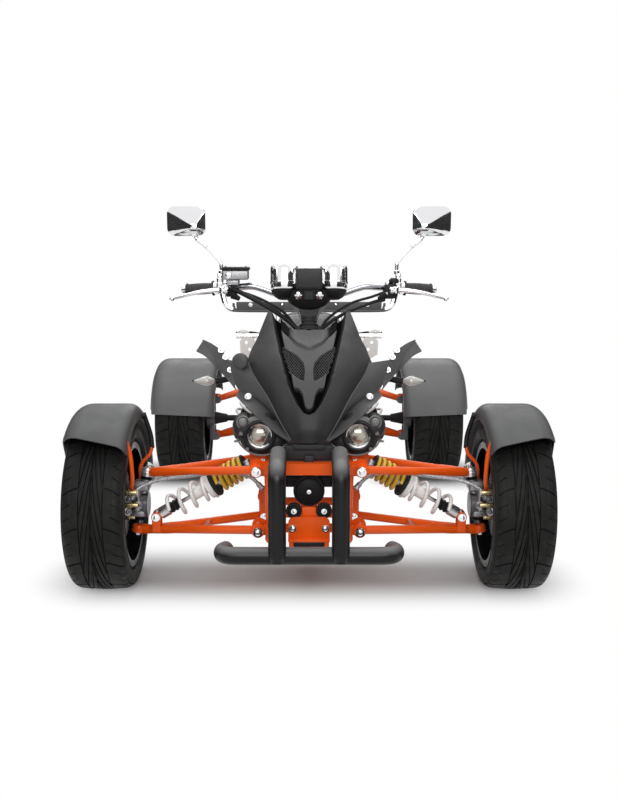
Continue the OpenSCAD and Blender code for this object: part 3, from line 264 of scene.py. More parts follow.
def seatFinish():
    shade = Shade("seatVinyl")
    grain = shade.node("ShaderNodeTexVoronoi", {"feature": "DISTANCE_TO_EDGE"},
                       {"Vector": shade.place(), "Scale": 420.0})
    crease = shade.span(grain, 0.0, 0.12)
    tone = shade.mix(shade.noise(9.0, 5), rgb(0.014, 0.014, 0.014), rgb(0.026, 0.025, 0.025))
    shade.set(Base_Color=shade.mix(crease, rgb(0.006, 0.006, 0.006), tone),
              Roughness=shade.span(crease, 0.0, 1.0, 0.62, 0.44), Normal=shade.bump(crease, 0.25, 0.0006))
    return shade.material


looks["lampGlass"] = clearFinish()
looks["braidedHose"] = braidFinish()
looks["seatVinyl"] = seatFinish()
print("finishes made:", len(looks))


def edgesOf(verts):
    return list({e for v in verts for e in v.link_edges})


def facesOf(verts):
    return list({f for v in verts for f in v.link_faces})


def only(kind, geom):
    return [g for g in geom if isinstance(g, kind)]


def newVerts(bm, before):
    return [v for v in bm.verts if v not in before]


def mirrored(bm):
    copy = bmesh.ops.duplicate(bm, geom=bm.verts[:] + bm.edges[:] + bm.faces[:])["geom"]
    bmesh.ops.scale(bm, verts=only(bmesh.types.BMVert, copy), vec=(-1, 1, 1))
    bmesh.ops.reverse_faces(bm, faces=only(bmesh.types.BMFace, copy))


# pieces are modelled in mm and finished in metres; with both, the mirror image is added
def finishPiece(bm, name, look, body, replaced=(), sharp=38.0, both=False):
    if both:
        mirrored(bm)
    bmesh.ops.transform(bm, verts=bm.verts, matrix=Matrix.Scale(0.001, 4))
    bmesh.ops.recalc_face_normals(bm, faces=bm.faces)
    mesh = bpy.data.meshes.new(name)
    bm.to_mesh(mesh)
    bm.free()
    mesh.polygons.foreach_set("use_smooth", [True] * len(mesh.polygons))
    mesh.set_sharp_from_angle(angle=math.radians(sharp))
    mesh.materials.append(looks[look])
    piece = bpy.data.objects.new(name, mesh)
    bpy.context.scene.collection.objects.link(piece)
    if body:
        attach(piece, body)
    if replaced:
        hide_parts(*replaced)
    return piece


def finishPieces(rows, body, sharp=38.0, both=False):
    for bm, name, look, slot, *replaced in rows:
        finishPiece(bm, name, look, body, replaced, sharp, both)


nodeFinish = dict(weld=0.00001, splitAngle=32)              # metres and degrees


def dressNode(name, look):
    piece = nodes[name]
    piece.data.materials.clear()
    piece.data.materials.append(looks[look])
    piece.data.polygons.foreach_set("use_smooth", [True] * len(piece.data.polygons))
    weld = piece.modifiers.new("weld", "WELD")
    weld.merge_threshold = nodeFinish["weld"]
    split = piece.modifiers.new("split", "EDGE_SPLIT")
    split.split_angle = math.radians(nodeFinish["splitAngle"])


def facing(at, out):
    return Matrix.Translation(at) @ Vector(out).to_track_quat("Z", "Y").to_matrix().to_4x4()


def revolve(bm, rows, at, out, steps=40, closed=False):
    frameOf = facing(at, out)
    verts = [bm.verts.new(frameOf @ Vector((radius, 0, height))) for radius, height in rows]
    edges = [bm.edges.new(pair) for pair in zip(verts, verts[1:])]
    if closed:
        edges.append(bm.edges.new((verts[-1], verts[0])))
    before = set(bm.verts) - set(verts)
    bmesh.ops.spin(bm, geom=verts + edges, cent=Vector(at), axis=Vector(out).normalized(), angle=math.tau,
                   steps=steps, use_merge=True, dvec=(0, 0, 0))
    bmesh.ops.remove_doubles(bm, verts=newVerts(bm, before), dist=0.00001)


def smoothPath(points, count):
    pts = [Vector(p) for p in points]
    pts = [2 * pts[0] - pts[1]] + pts + [2 * pts[-1] - pts[-2]]
    out = []
    for k in range(count + 1):
        t = (len(pts) - 3) * k / count
        i = min(int(t), len(pts) - 4)
        f = t - i
        a, b, c, d = pts[i:i + 4]
        out.append(b + 0.5 * f * (c - a + f * (2 * a - 5 * b + 4 * c - d + f * (3 * (b - c) + d - a))))
    return out


def sweep(bm, path, radius, sides=12):
    pts = [Vector(p) for p in path]
    sizes = radius if isinstance(radius, (list, tuple)) else [radius] * len(pts)
    ways = [(pts[min(i + 1, len(pts) - 1)] - pts[max(i - 1, 0)]).normalized() for i in range(len(pts))]
    turn = Vector((0, 0, 1)).rotation_difference(ways[0]).to_matrix().to_4x4()
    start = bmesh.ops.create_circle(bm, cap_ends=False, segments=sides, radius=sizes[0],
                                    matrix=Matrix.Translation(pts[0]) @ turn)["verts"]
    edges = edgesOf(start)
    ends = list(edges)
    for i in range(1, len(pts)):
        grown = bmesh.ops.extrude_edge_only(bm, edges=edges)["geom"]
        verts = only(bmesh.types.BMVert, grown)
        edges = [g for g in grown if isinstance(g,
                                                bmesh.types.BMEdge) and all(v in set(verts) for v in g.verts)]
        step = ways[i - 1].rotation_difference(ways[i]).to_matrix().to_4x4()
        size = Matrix.Scale(sizes[i] / sizes[i - 1], 4)
        shift = Matrix.Translation(pts[i]) @ step @ size @ Matrix.Translation(-pts[i - 1])
        bmesh.ops.transform(bm, verts=verts, matrix=shift)
    bmesh.ops.holes_fill(bm, edges=ends + edges, sides=sides)


def bevel(bm, geom, offset, segments, affect="EDGES"):
    bmesh.ops.bevel(bm, geom=geom, offset=offset, offset_type="OFFSET", segments=segments, profile=0.5,
                    affect=affect, material=-1)


def bolt(bm, at, out, size, washer=True):
    place = facing(at, out)
    if washer:
        bmesh.ops.create_cone(bm, cap_ends=True, segments=20, radius1=size * 1.75, radius2=size * 1.6,
                              depth=size * 0.4, matrix=place @ Matrix.Translation((0, 0, size * 0.2)))
    head = bmesh.ops.create_cone(bm, cap_ends=True, segments=6, radius1=size, radius2=size, depth=size * 0.9,
                                 matrix=place @ Matrix.Translation((0, 0, size * 0.8)))
    bevel(bm, edgesOf(head["verts"]), size * 0.14, 2)


def softBox(bm, low, high, soft):
    low, high = Vector(low), Vector(high)
    made = bmesh.ops.create_cube(bm, size=1.0)["verts"]
    bmesh.ops.scale(bm, verts=made, vec=high - low)
    before = set(bm.verts) - set(made)
    bevel(bm, edgesOf(made), soft, 3)
    bmesh.ops.translate(bm, verts=newVerts(bm, before), vec=(low + high) / 2)


def softBoxes(bm, rows):
    for low, high, soft in rows:
        softBox(bm, low, high, soft)


def flip(point):
    return Vector((-point[0], point[1], point[2]))


def mix(a, b, t):
    return a + (b - a) * t


def ease(value, low, high):
    t = min(max((value - low) / (high - low), 0.0), 1.0)
    return t * t * (3 - 2 * t)


# The camera stands where the photograph was taken from
cameraPlace = dict(at=(0.0, -3.321, 0.986), down=0.1658, focalPixels=986.3, frameHeight=800)
lens = bpy.data.cameras.new("photoCamera")
lens.sensor_width = 36.0
lens.lens = cameraPlace["focalPixels"] / cameraPlace["frameHeight"] * lens.sensor_width
lens.clip_end = 200.0
view = bpy.data.objects.new("photoCamera", lens)
view.location = cameraPlace["at"]
view.rotation_euler = (math.pi / 2 - cameraPlace["down"], 0, 0)
bpy.context.scene.collection.objects.link(view)
bpy.context.scene.camera = view
bpy.context.scene.view_settings.view_transform = "Standard"


def seenPlainly(shade):
    path = shade.tree.nodes.new("ShaderNodeLightPath")
    rays = [Val(shade,
                path.outputs[key]) for key in ("Is Camera Ray", "Is Glossy Ray", "Is Transmission Ray")]
    return shade.span(rays[0] + rays[1] + rays[2], 0.0, 1.0)


# shadow patches, partly painted shadow: centre, half size and softness of each, in metres
stage = dict(floorHalf=60.0, shadows=[(0.0, -0.545, 0.56, 0.03, 0.27), (0.51, 0.71, 0.10, 0.10, 0.22)],
             worldFill=0.28, cardRadius=3.4, cardLow=0.10, cardHigh=1.75, cardGap=0.42)


def makeFloor():
    bm = bmesh.new()
    bmesh.ops.create_grid(bm, x_segments=4, y_segments=4, size=stage["floorHalf"])
    mesh = bpy.data.meshes.new("studioFloor")
    bm.to_mesh(mesh)
    bm.free()
    floor = bpy.data.objects.new("studioFloor", mesh)
    bpy.context.scene.collection.objects.link(floor)
    shade = Shade("paleFloor")
    shade.set(Base_Color=shade.mix(shade.noise(1.5, 3), rgb(0.44, 0.44, 0.44), rgb(0.48, 0.48, 0.48)),
              Roughness=0.8)
    # the floor is plain white but for soft patches where shade falls; there the darker diffuse floor shows
    # its real shadows and also stands in as a painted shadow
    fade = None
    for x, y, halfX, halfY, soft in stage["shadows"]:
        across = shade.larger(shade.size(shade.size(shade.part("X")) - x) - halfX, 0.0)
        along = shade.larger(shade.size(shade.part("Y") - y) - halfY, 0.0)
        away = shade.span((across ** 2.0 + along ** 2.0) ** 0.5, 0.0, soft)
        fade = away if fade is None else fade * away
    glow = shade.node("ShaderNodeEmission", None, {"Color": rgb(1, 1, 1), "Strength": 1.0})
    both = shade.node("ShaderNodeMixShader", None,
                      {0: seenPlainly(shade) * fade, 1: Val(shade, shade.surface.outputs[0]), 2: glow})
    shade.join(shade.outcome.inputs[0], both)
    mesh.materials.append(shade.material)


def makeWorld():
    world = bpy.data.worlds.new("whiteStudio")
    bpy.context.scene.world = world
    world.use_nodes = True
    shade = Shade.__new__(Shade)
    shade.tree = world.node_tree
    back = world.node_tree.nodes["Background"]
    back.inputs[0].default_value = rgb(1, 1, 1)
    shade.join(back.inputs[1], seenPlainly(shade) * (1 - stage["worldFill"]) + stage["worldFill"])


# name, place, aim, width, height, power
lamps = [
    ("topSoftbox", (0.0, 0.1, 3.0), (0.0, 0.1, 0.4), 3.6, 3.2, 66.0),
    ("frontFill", (0.0, -4.4, 2.1), (0.0, -0.4, 0.5), 3.4, 1.4, 86.0),
    ("leftStrip", (3.2, -1.6, 1.5), (0.3, -0.2, 0.5), 0.7, 2.4, 16.0),
    ("rightStrip", (-3.2, -1.6, 1.5), (-0.3, -0.2, 0.5), 0.7, 2.4, 16.0),
    ("backStrip", (0.0, 3.2, 2.0), (0.0, 0.4, 0.5), 2.6, 0.8, 22.0),
]


def makeLamps():
    for name, at, aim, wide, high, power in lamps:
        data = bpy.data.lights.new(name, "AREA")
        data.shape = "RECTANGLE"
        data.size, data.size_y, data.energy = wide, high, power
        lamp = bpy.data.objects.new(name, data)
        lamp.location = at
        lamp.rotation_euler = (Vector(aim) - Vector(at)).to_track_quat("-Z", "Y").to_euler()
        bpy.context.scene.collection.objects.link(lamp)


def makeCard():
    # a dark wall that only mirrors see, so that chrome has an edge against the white
    bm = bmesh.new()
    s = stage
    bmesh.ops.create_cone(bm, cap_ends=False, segments=64, radius1=s["cardRadius"], radius2=s["cardRadius"],
                          depth=s["cardHigh"] - s["cardLow"],
                          matrix=Matrix.Translation((0, 0, (s["cardHigh"] + s["cardLow"]) / 2)))
    ahead = [f for f in bm.faces if math.atan2(abs(f.calc_center_median().x),
                                               -f.calc_center_median().y) < s["cardGap"]]
    bmesh.ops.delete(bm, geom=ahead, context="FACES")
    mesh = bpy.data.meshes.new("darkCard")
    bm.to_mesh(mesh)
    bm.free()
    card = bpy.data.objects.new("darkCard", mesh)
    bpy.context.scene.collection.objects.link(card)
    shade = Shade("darkCard")
    shade.set(Base_Color=shade.mix(shade.noise(1.2, 3), rgb(0.02, 0.02, 0.02), rgb(0.05, 0.05, 0.05)),
              Roughness=1.0)
    mesh.materials.append(shade.material)
    card.visible_camera = card.visible_diffuse = card.visible_shadow = card.visible_transmission = False


makeFloor()
makeCard()
makeWorld()
makeLamps()
print("stage set")

nodeLooks = {
    "orangePaint": ["main_frame", "front_arms", "rear_arms", "front_plate", "fender_stay_left",
                    "fender_stay_right", "rear_fender_stays"],
    "satinBlack": ["front_bumper", "steering_column", "bar_clamp", "rack_plate", "footrests"],
    "softBlack": ["horn", "gauge_box", "filler_cap", "headlight_pods", "rear_drive"],
    "cowlPlastic": ["side_panels", "tail_cowl", "nose_cowl", "scoop_panel", "side_wings"],
    "fenderPlastic": ["front_fender_left", "front_fender_right", "rear_fenders"],
    "treadRubber": ["tyre_front_left", "tyre_front_right", "tyre_rear_left", "tyre_rear_right"],
    "chrome": ["mirrors", "levers", "hand_controls", "gauge_pods", "rear_rack", "handlebar"],
    "frontRim": ["rim_front_left", "rim_front_right"],
    "rearRim": ["rim_rear_left", "rim_rear_right"],
    "brightAlloy": ["rack_brackets", "dampers"],
    "castAlloy": ["knuckle_left", "knuckle_right"],
    "darkSteel": ["tie_rod_left", "tie_rod_right", "rear_carriers"],
    "engineGrey": ["engine"],
    "pipeSteel": ["exhaust"],
    "tankGrey": ["tank"],
    "redLamp": ["tail_lamp"],
    "gripRubber": ["grips"],
    "seatVinyl": ["seat"],
    "wireMesh": ["scoop_mesh"],
    "lampGlass": ["headlight_lenses"],
    "turnGlass": ["indicators"],
    "coilWhite": ["coil_springs"],
    "braidedHose": ["brake_hose_left", "brake_hose_right"],
    "blackGlass": ["control_cables"],
}
for look, names in nodeLooks.items():
    for name in names:
        dressNode(name, look)
print("nodes dressed")

frontY, rearY, axleZ = -620.0, 710.0, 236.5                # the axles' places in mm

# Tyres: a smooth carcass with ribs and shoulder blocks wrapped round it, in mm
tyreShape = dict(radius=236.5, crown=520.0, shoulder=26.0, depth=5.5, ribs=18, ribRun=215.0, ribFrom=1.6,
                 ribTo=31.0, ribGap=24.0, blocks=14, blockFrom=33.0, blockSplit=52.0, blockTo=79.0,
                 blockGap=4.5, sipe=1.8, slant=22.0, edge=0.7, drawnWidth=165.0)


def tyreLine(half):
    t = tyreShape
    turn = half - t["shoulder"] * 0.89
    lead = math.asin(turn / t["crown"])
    line = []
    for k in range(17):
        a = lead * k / 16
        line.append((t["crown"] * math.sin(a), t["radius"] - t["crown"] * (1 - math.cos(a)), a))
    middleWide = line[-1][0] - t["shoulder"] * math.sin(lead)
    middleHigh = line[-1][1] - t["shoulder"] * math.cos(lead)
    for k in range(1, 13):
        a = mix(lead, math.pi / 2, k / 12)
        line.append((middleWide + t["shoulder"] * math.sin(a), middleHigh + t["shoulder"] * math.cos(a), a))
    reach = [0.0]
    for p, q in zip(line, line[1:]):
        reach.append(reach[-1] + math.dist(p[:2], q[:2]))
    return line, reach


def onLine(line, reach, u):
    i = max(k for k in range(len(reach) - 1) if reach[k] <= u or k == 0)
    f = min((u - reach[i]) / (reach[i + 1] - reach[i]), 1.0)
    return [mix(a, b, f) for a, b in zip(line[i], line[i + 1])]


def treadBlock(bm, cells, shape, line, reach, side, depth):
    before = set(bm.verts)
    bmesh.ops.create_grid(bm, x_segments=cells[0], y_segments=cells[1], size=0.5)
    fresh = newVerts(bm, before)
    for v in fresh:
        s, u = shape(v.co.x + 0.5, v.co.y + 0.5)
        v.co = (s, u, -depth - 1.5)
    faces = facesOf(fresh)
    grown = bmesh.ops.extrude_face_region(bm, geom=faces, use_keep_orig=True)["geom"]
    top = only(bmesh.types.BMVert, grown)
    for v in top:
        v.co.z = 0.0
    rim = [g for g in grown if isinstance(g, bmesh.types.BMEdge) and all(abs(v.co.z) < 0.01 for v in g.verts)
           and any(abs(v.co.z) > 0.01 for f in g.link_faces for v in f.verts)]
    bevel(bm, rim, tyreShape["edge"], 1)
    for v in newVerts(bm, before):
        w, r, a = onLine(line, reach, v.co.y)
        turn = v.co.x / tyreShape["radius"]
        out = r + v.co.z * math.cos(a)
        v.co = (side * (w + v.co.z * math.sin(a)), -out * math.cos(turn), out * math.sin(turn))
    return newVerts(bm, before)


def spread(bm, verts, count):
    geom = list(verts) + edgesOf(verts) + facesOf(verts)
    bmesh.ops.spin(bm, geom=geom, cent=(0, 0, 0), axis=(1, 0, 0), angle=math.tau * (count - 1) / count,
                   steps=count - 1, use_duplicate=True, dvec=(0, 0, 0))


def makeTyre(name, node, body, width):
    t = tyreShape
    half = width / 2
    line, reach = tyreLine(half)
    bm = bmesh.new()
    wide = width / t["drawnWidth"]
    keys = ("ribTo", "blockFrom", "blockSplit", "blockTo")
    ribTo, blockFrom, split, blockTo = [t[key] * wide for key in keys]
    blockTo = min(blockTo, reach[-1] - 8)
    ribStep = math.tau * t["radius"] / t["ribs"]
    blockStep = math.tau * t["radius"] / t["blocks"]

    def rib(x, y):
        around = (ribStep - t["ribGap"]) * y - t["ribRun"] * x
        return around, t["ribFrom"] + (ribTo - t["ribFrom"]) * x ** 1.25

    def block(from0, to0, u0, u1):
        def shape(x, y):
            u = mix(u0, u1, x)
            return mix(from0, to0, y) - t["slant"] * ((u - blockFrom) / (blockTo - blockFrom)) ** 1.5, u
        return shape

    ribs = []
    for side in (-1, 1):
        ribs += treadBlock(bm, (12, 1), rib, line, reach, side, t["depth"])
    spread(bm, ribs, t["ribs"])
    blocks = []
    long = blockStep - t["blockGap"]
    third = (long - 2 * t["sipe"]) / 3
    for side in (-1, 1):
        blocks += treadBlock(bm, (3, 5), block(0, long, blockFrom, split), line, reach, side, t["depth"])
        for k in range(3):
            start = k * (third + t["sipe"])
            blocks += treadBlock(bm, (5, 2), block(start, start + third, split - 0.8, blockTo), line, reach,
                                 side, t["depth"])
    spread(bm, blocks, t["blocks"])
    hollow = []
    for (w, r, a), u in zip(line, reach):
        sunk = t["depth"] * (1 - ease(u, blockTo - 3, blockTo + 6))
        hollow.append((r - sunk * math.cos(a), w - sunk * math.sin(a)))
    wall = [(198, half), (193, half - 1.2), (191.5, half + 0.8), (189.5, half + 0.8), (188, half - 2),
            (184, half - 8), (183.6, half - 12.8), (166, half - 12.8)]
    side = hollow + wall
    rows = side[::-1] + [(r, -w) for r, w in side[1:]]
    revolve(bm, rows, (0, 0, 0), (1, 0, 0), steps=96, closed=True)
    low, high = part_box(node)
    bmesh.ops.translate(bm, verts=bm.verts, vec=(low + high) * 500)    # the middle of the node's box, in mm
    finishPiece(bm, name, "treadRubber", body, [node], sharp=30)


for where, width in (("front_left", 165.0), ("front_right", 165.0), ("rear_left", 195.0),
                     ("rear_right", 195.0)):
    makeTyre("tread_" + where, "tyre_" + where, "wheel_" + where, width)
print("tyres made")

# Fenders: a rounded section turned about the axle, with round corners in plan, in mm and degrees
fenderShape = dict(wall=3.5, outerCorner=52.0, innerCorner=30.0, side=46.0, planCorner=30.0, steps=56)
frontFenderRow = dict(at=(567.5, frontY), radius=284.0, width=180.0, rear=(78, 78), front=(46, 33))
rearFenderRow = dict(at=(498.5, rearY), radius=247.5, width=252.0, rear=(68, 68), front=(79, 76))


def fenderSection(radius, width):
    f = fenderShape
    half = width / 2
    rows = [(-half, radius - f["side"])]
    for corner, sign in ((f["innerCorner"], -1), (f["outerCorner"], 1)):
        arc = []
        for k in range(9):
            a = math.pi / 2 * k / 8
            arc.append((sign * (half - corner + corner * math.sin(a)),
                        radius - corner + corner * math.cos(a)))
        rows += arc[::-1] if sign < 0 else arc
    rows.append((half, radius - f["side"] - 4))
    fine = []
    for p, q in zip(rows, rows[1:]):
        count = max(1, round(math.dist(p, q) / 9))
        fine += [(mix(p[0], q[0], k / count), mix(p[1], q[1], k / count)) for k in range(count)]
    return fine + [rows[-1]]


def fenderShell(bm, at, radius, width, rear, front, turn):
    f = fenderShape
    section = fenderSection(radius, width)
    before = set(bm.verts)
    bmesh.ops.create_grid(bm, x_segments=f["steps"], y_segments=len(section) - 1, size=0.5)
    fresh = newVerts(bm, before)
    reach = [0.0]
    for p, q in zip(section, section[1:]):
        reach.append(reach[-1] + math.dist(p, q))
    for v in fresh:
        k = round((v.co.y + 0.5) * (len(section) - 1))
        t = v.co.x + 0.5
        share = reach[k] / reach[-1]
        edge = min(reach[k], reach[-1] - reach[k])
        bite = 1 - math.sqrt(max(0.0, 1 - max(0.0, 1 - edge / f["planCorner"]) ** 2))
        cut = math.degrees(bite * f["planCorner"] / radius)
        a = math.radians(mix(-mix(*rear, share) + cut, mix(*front, share) - cut, t))
        w, r = section[k]
        v.co = (turn * (at[0] + w), at[1] - r * math.sin(a), axleZ + r * math.cos(a))
    faces = facesOf(fresh)
    bmesh.ops.recalc_face_normals(bm, faces=faces)
    middle = max(faces, key=lambda g: g.calc_center_median().z)
    if middle.normal.z < 0:
        bmesh.ops.reverse_faces(bm, faces=faces)
    bmesh.ops.solidify(bm, geom=faces, thickness=f["wall"])


def makeFenders():
    for side, turn in (("left", 1), ("right", -1)):
        bm = bmesh.new()
        fenderShell(bm, **frontFenderRow, turn=turn)
        finishPiece(bm, "frontFender" + side.title(), "fenderPlastic", "knuckle_body_" + side,
                    ["front_fender_" + side], sharp=50)
    bm = bmesh.new()
    for turn in (-1, 1):
        fenderShell(bm, **rearFenderRow, turn=turn)
    finishPiece(bm, "rearFenderShells", "rearFender", "chassis", ["rear_fenders"], sharp=50)


makeFenders()
print("fenders made")

# The nose: a smooth hood whose V panel, eyes and collar are pressed in, in mm
hoodRows = [
    (46, -205, 455, -190, 460),
    (75, -207, 495, -165, 504),
    (107, -184, 555, -115, 555),
    (166, -112, 640, 3, 638),
    (143, -22, 705, 74, 706),
    (118, 92, 752, 150, 770),
]
noseShape = dict(across=150, up=150, wall=3.2, groove=23.0, face=4.5, eye=15.0, collar=-3.0, soft=2.2,
                 notch=[(0.0, 4.47), (0.3, 4.45), (0.42, 4.58), (0.58, 4.83), (0.70, 4.94), (0.85, 5.0),
                        (1.0, 5.0)],
                 outline=[(0, 530), (14, 535), (32, 555), (48, 583), (63, 625), (83, 687), (98, 736),
                          (109, 790), (0, 790)],
                 mask=[(0, 542), (6, 543.5), (11, 549), (14.5, 562), (18.5, 579), (27, 590), (43, 593),
                       (49, 622), (68, 682), (82, 733), (60.6, 716), (33.7, 697), (12, 689), (0, 686)],
                 eyes=[(71, 685), (59, 681), (33, 669), (16, 652), (12.5, 634), (15, 612), (37, 622),
                       (49.6, 631)],
                 brow=[(0, 684), (12, 687), (33.7, 695), (60.6, 714), (80, 731), (90, 800), (0, 800)])


def along(rows, t):
    i = min(int(t), len(rows) - 2)
    f = t - i
    b, c = rows[i], rows[i + 1]
    a = rows[i - 1] if i > 0 else [2 * p - q for p, q in zip(b, c)]
    d = rows[i + 2] if i < len(rows) - 2 else [2 * q - p for p, q in zip(b, c)]
    return [q + 0.5 * f * (r - p + f * (2 * p - 5 * q + 4 * r - s + f * (3 * (q - r) + s - p))) for p, q, r,
            s in zip(a, b, c, d)]


def hoodAt(u, t):
    w, midY, midZ, edgeY, edgeZ = along(hoodRows, min(max(t, 0.0), 5.0))
    f = 1 - abs(u) ** 2.3
    return Vector((w * u, frontY + mix(edgeY, midY, f), mix(edgeZ, midZ, f)))


def notchAt(u):
    rows = noseShape["notch"]
    for (u0, t0), (u1, t1) in zip(rows, rows[1:]):
        if u <= u1:
            return mix(t0, t1, ease(u, u0, u1))
    return rows[-1][1]


def inside(outline, x, z):
    # signed distance to a half outline that is closed by its mirror image, positive inside
    ring = outline + [(-px, pz) for px, pz in outline[::-1] if px > 0.5] if outline[0][0] < 0.5 else outline
    near, hit = 1e9, False
    for (x0, z0), (x1, z1) in zip(ring, ring[1:] + ring[:1]):
        dx, dz = x1 - x0, z1 - z0
        t = min(max(((x - x0) * dx + (z - z0) * dz) / (dx * dx + dz * dz + 1e-9), 0.0), 1.0)
        near = min(near, math.hypot(x - x0 - dx * t, z - z0 - dz * t))
        if (z0 > z) != (z1 > z) and x < x0 + (z - z0) * dx / dz:
            hit = not hit
    return near if hit else -near


def pressed(x, z):
    n = noseShape
    x = abs(x)
    v = inside(n["outline"], x, z)
    if v < -n["soft"]:
        return 0.0
    deep = n["groove"] * ease(v, -n["soft"], n["soft"])
    m = inside(n["mask"], x, z)
    deep = mix(deep, n["face"], ease(m, -n["soft"], n["soft"]))
    deep = mix(deep, n["eye"], ease(inside(n["eyes"], x, z), -1.6, 1.6))
    b = inside(n["brow"], x, z)
    collar = n["collar"] + 4.0 * ease(b, 0.0, 30.0) + 10.0 * ease(x, 36.0, 70.0) + 2.5 * (1 - ease(x, 2.0,
                                                                                                   10.0))
    return mix(deep, collar, ease(b, -1.2, 2.0))


def paintedLightShadeAt(x, z):
    # painted light and shade: above nought is painted shade in the grooves, the eyes and the collar's flanks,
    # below it is painted light on the insert and the collar's middle
    n = noseShape
    x = abs(x)
    mask = ease(inside(n["mask"], x, z), -3.0, 0.5)
    dark = mix(ease(inside(n["outline"], x, z), 0.0, 3.5), -0.8, mask)
    dark = mix(dark, 0.9, ease(inside(n["eyes"], x, z), -0.5, 1.0))
    b = inside(n["brow"], x, z)
    return mix(dark, -0.9 + 1.7 * ease(x, 34.0, 60.0), ease(b, -1.0, 1.5))


def outward(u, t):
    step = 0.02
    a = hoodAt(u, min(t + step, 5.0)) - hoodAt(u, max(t - step, 0.0))
    b = hoodAt(max(u - step, -1.0), t) - hoodAt(min(u + step, 1.0), t)
    return a.cross(b).normalized()


def makeNose():
    n = noseShape
    bm = bmesh.new()
    bmesh.ops.create_grid(bm, x_segments=n["across"], y_segments=n["up"], size=0.5)
    # painted light and shade for the nose's finish, stored on each vertex
    layer = bm.verts.layers.float.new("paintedLightAndShade")
    for v in bm.verts:
        u = v.co.x * 2
        t = (v.co.y + 0.5) * notchAt(abs(u))
        spot = hoodAt(u, t)
        v[layer] = paintedLightShadeAt(spot.x, spot.z)
        v.co = spot - outward(u, t) * pressed(spot.x, spot.z)
    for f in bm.faces:
        f.normal_update()
    if sum(f.normal.y for f in bm.faces) > 0:
        bmesh.ops.reverse_faces(bm, faces=bm.faces)
    bmesh.ops.solidify(bm, geom=bm.faces[:], thickness=n["wall"])
    finishPiece(bm, "noseShell", "nosePlastic", "chassis", ["nose_cowl", "scoop_panel"],
                sharp=60)


# Wire mesh in the eyes, in mm: a square net that reaches a little past each eye and lies ahead of its floor
eyeMeshShape = dict(pitch=5.2, cells=40, wire=1.5, middle=(42, 648, 0), past=3.5, ahead=5.0,
                    rows=(1.5, 4.6), halvings=24)


def makeEyeMesh():
    n, s = noseShape, eyeMeshShape
    bm = bmesh.new()
    bmesh.ops.create_grid(bm, x_segments=s["cells"], y_segments=s["cells"], size=s["cells"] / 2 * s["pitch"])
    bmesh.ops.rotate(bm, verts=bm.verts, cent=(0, 0, 0), matrix=Matrix.Rotation(math.pi / 4, 3, "Z"))
    bmesh.ops.translate(bm, verts=bm.verts, vec=s["middle"])
    centres = [(f, f.calc_center_median()) for f in bm.faces]
    far = [f for f, spot in centres if inside(n["eyes"], spot.x, spot.y) < -s["past"]]
    bmesh.ops.delete(bm, geom=far, context="FACES")
    bmesh.ops.wireframe(bm, faces=bm.faces[:], thickness=s["wire"], use_replace=True, use_even_offset=True)
    for v in bm.verts:
        x, z, lift = v.co
        low, high = s["rows"]
        for k in range(s["halvings"]):                      # halve towards the row of the hood at this height
            t = (low + high) / 2
            u = x / along(hoodRows, t)[0]
            low, high = (t, high) if hoodAt(u, t).z < z else (low, t)
        v.co = hoodAt(u, t) + outward(u, t) * (lift - n["eye"] + s["ahead"])
    finishPiece(bm, "eyeMesh", "wireMesh", "chassis", ["scoop_mesh"], both=True)


makeNose()
makeEyeMesh()
print("nose made")

# Wings beside the nose and the folded fins behind them, for the left side, in mm
wingShape = dict(
    wall=3.0, steps=36,
    crease=[0.0, 0.5, 1.0, 1.7, 2.2, 2.6, 3.0],
    fold=[(46, -808, 463), (68, -766, 487), (98, -730, 514), (132, -694, 540), (194, -620, 562),
          (213, -597, 601), (228, -576, 641)],
    brim=[(51, -815, 458), (86, -806, 480), (116, -793, 504), (150, -775, 529), (200, -655, 552)])
finShape = dict(
    steps=28,
    outer=[(204, -617, 562), (236, -548, 586), (274, -478, 609), (306, -436, 634), (337, -395, 644)],
    fold=[(208, -615, 570), (238, -545, 593), (270, -467, 631), (292, -424, 655), (317, -384, 675)],
    inner=[(206, -602, 582), (221, -552, 617), (246, -487, 648), (282, -424, 667), (318, -381, 678)])
wingBolts = [((164, -692, 555), (0.15, -0.8, 0.58)), ((221, -556, 609), (0.1, -0.75, 0.65)),
             ((238, -510, 640), (0.1, -0.75, 0.65)), ((254, -470, 655), (0.1, -0.75, 0.65))]


def loft(bm, lines, steps, cells):
    # a sheet through several lines of points, each smoothed along its length
    smooth = [smoothPath(line, steps) for line in lines]
    before = set(bm.verts)
    count = (len(lines) - 1) * cells
    bmesh.ops.create_grid(bm, x_segments=steps, y_segments=count, size=0.5)
    fresh = newVerts(bm, before)
    for v in fresh:
        i = round((v.co.x + 0.5) * steps)
        k = round((v.co.y + 0.5) * count)
        j = min(k // cells, len(lines) - 2)
        v.co = smooth[j][i].lerp(smooth[j + 1][i], k / cells - j)


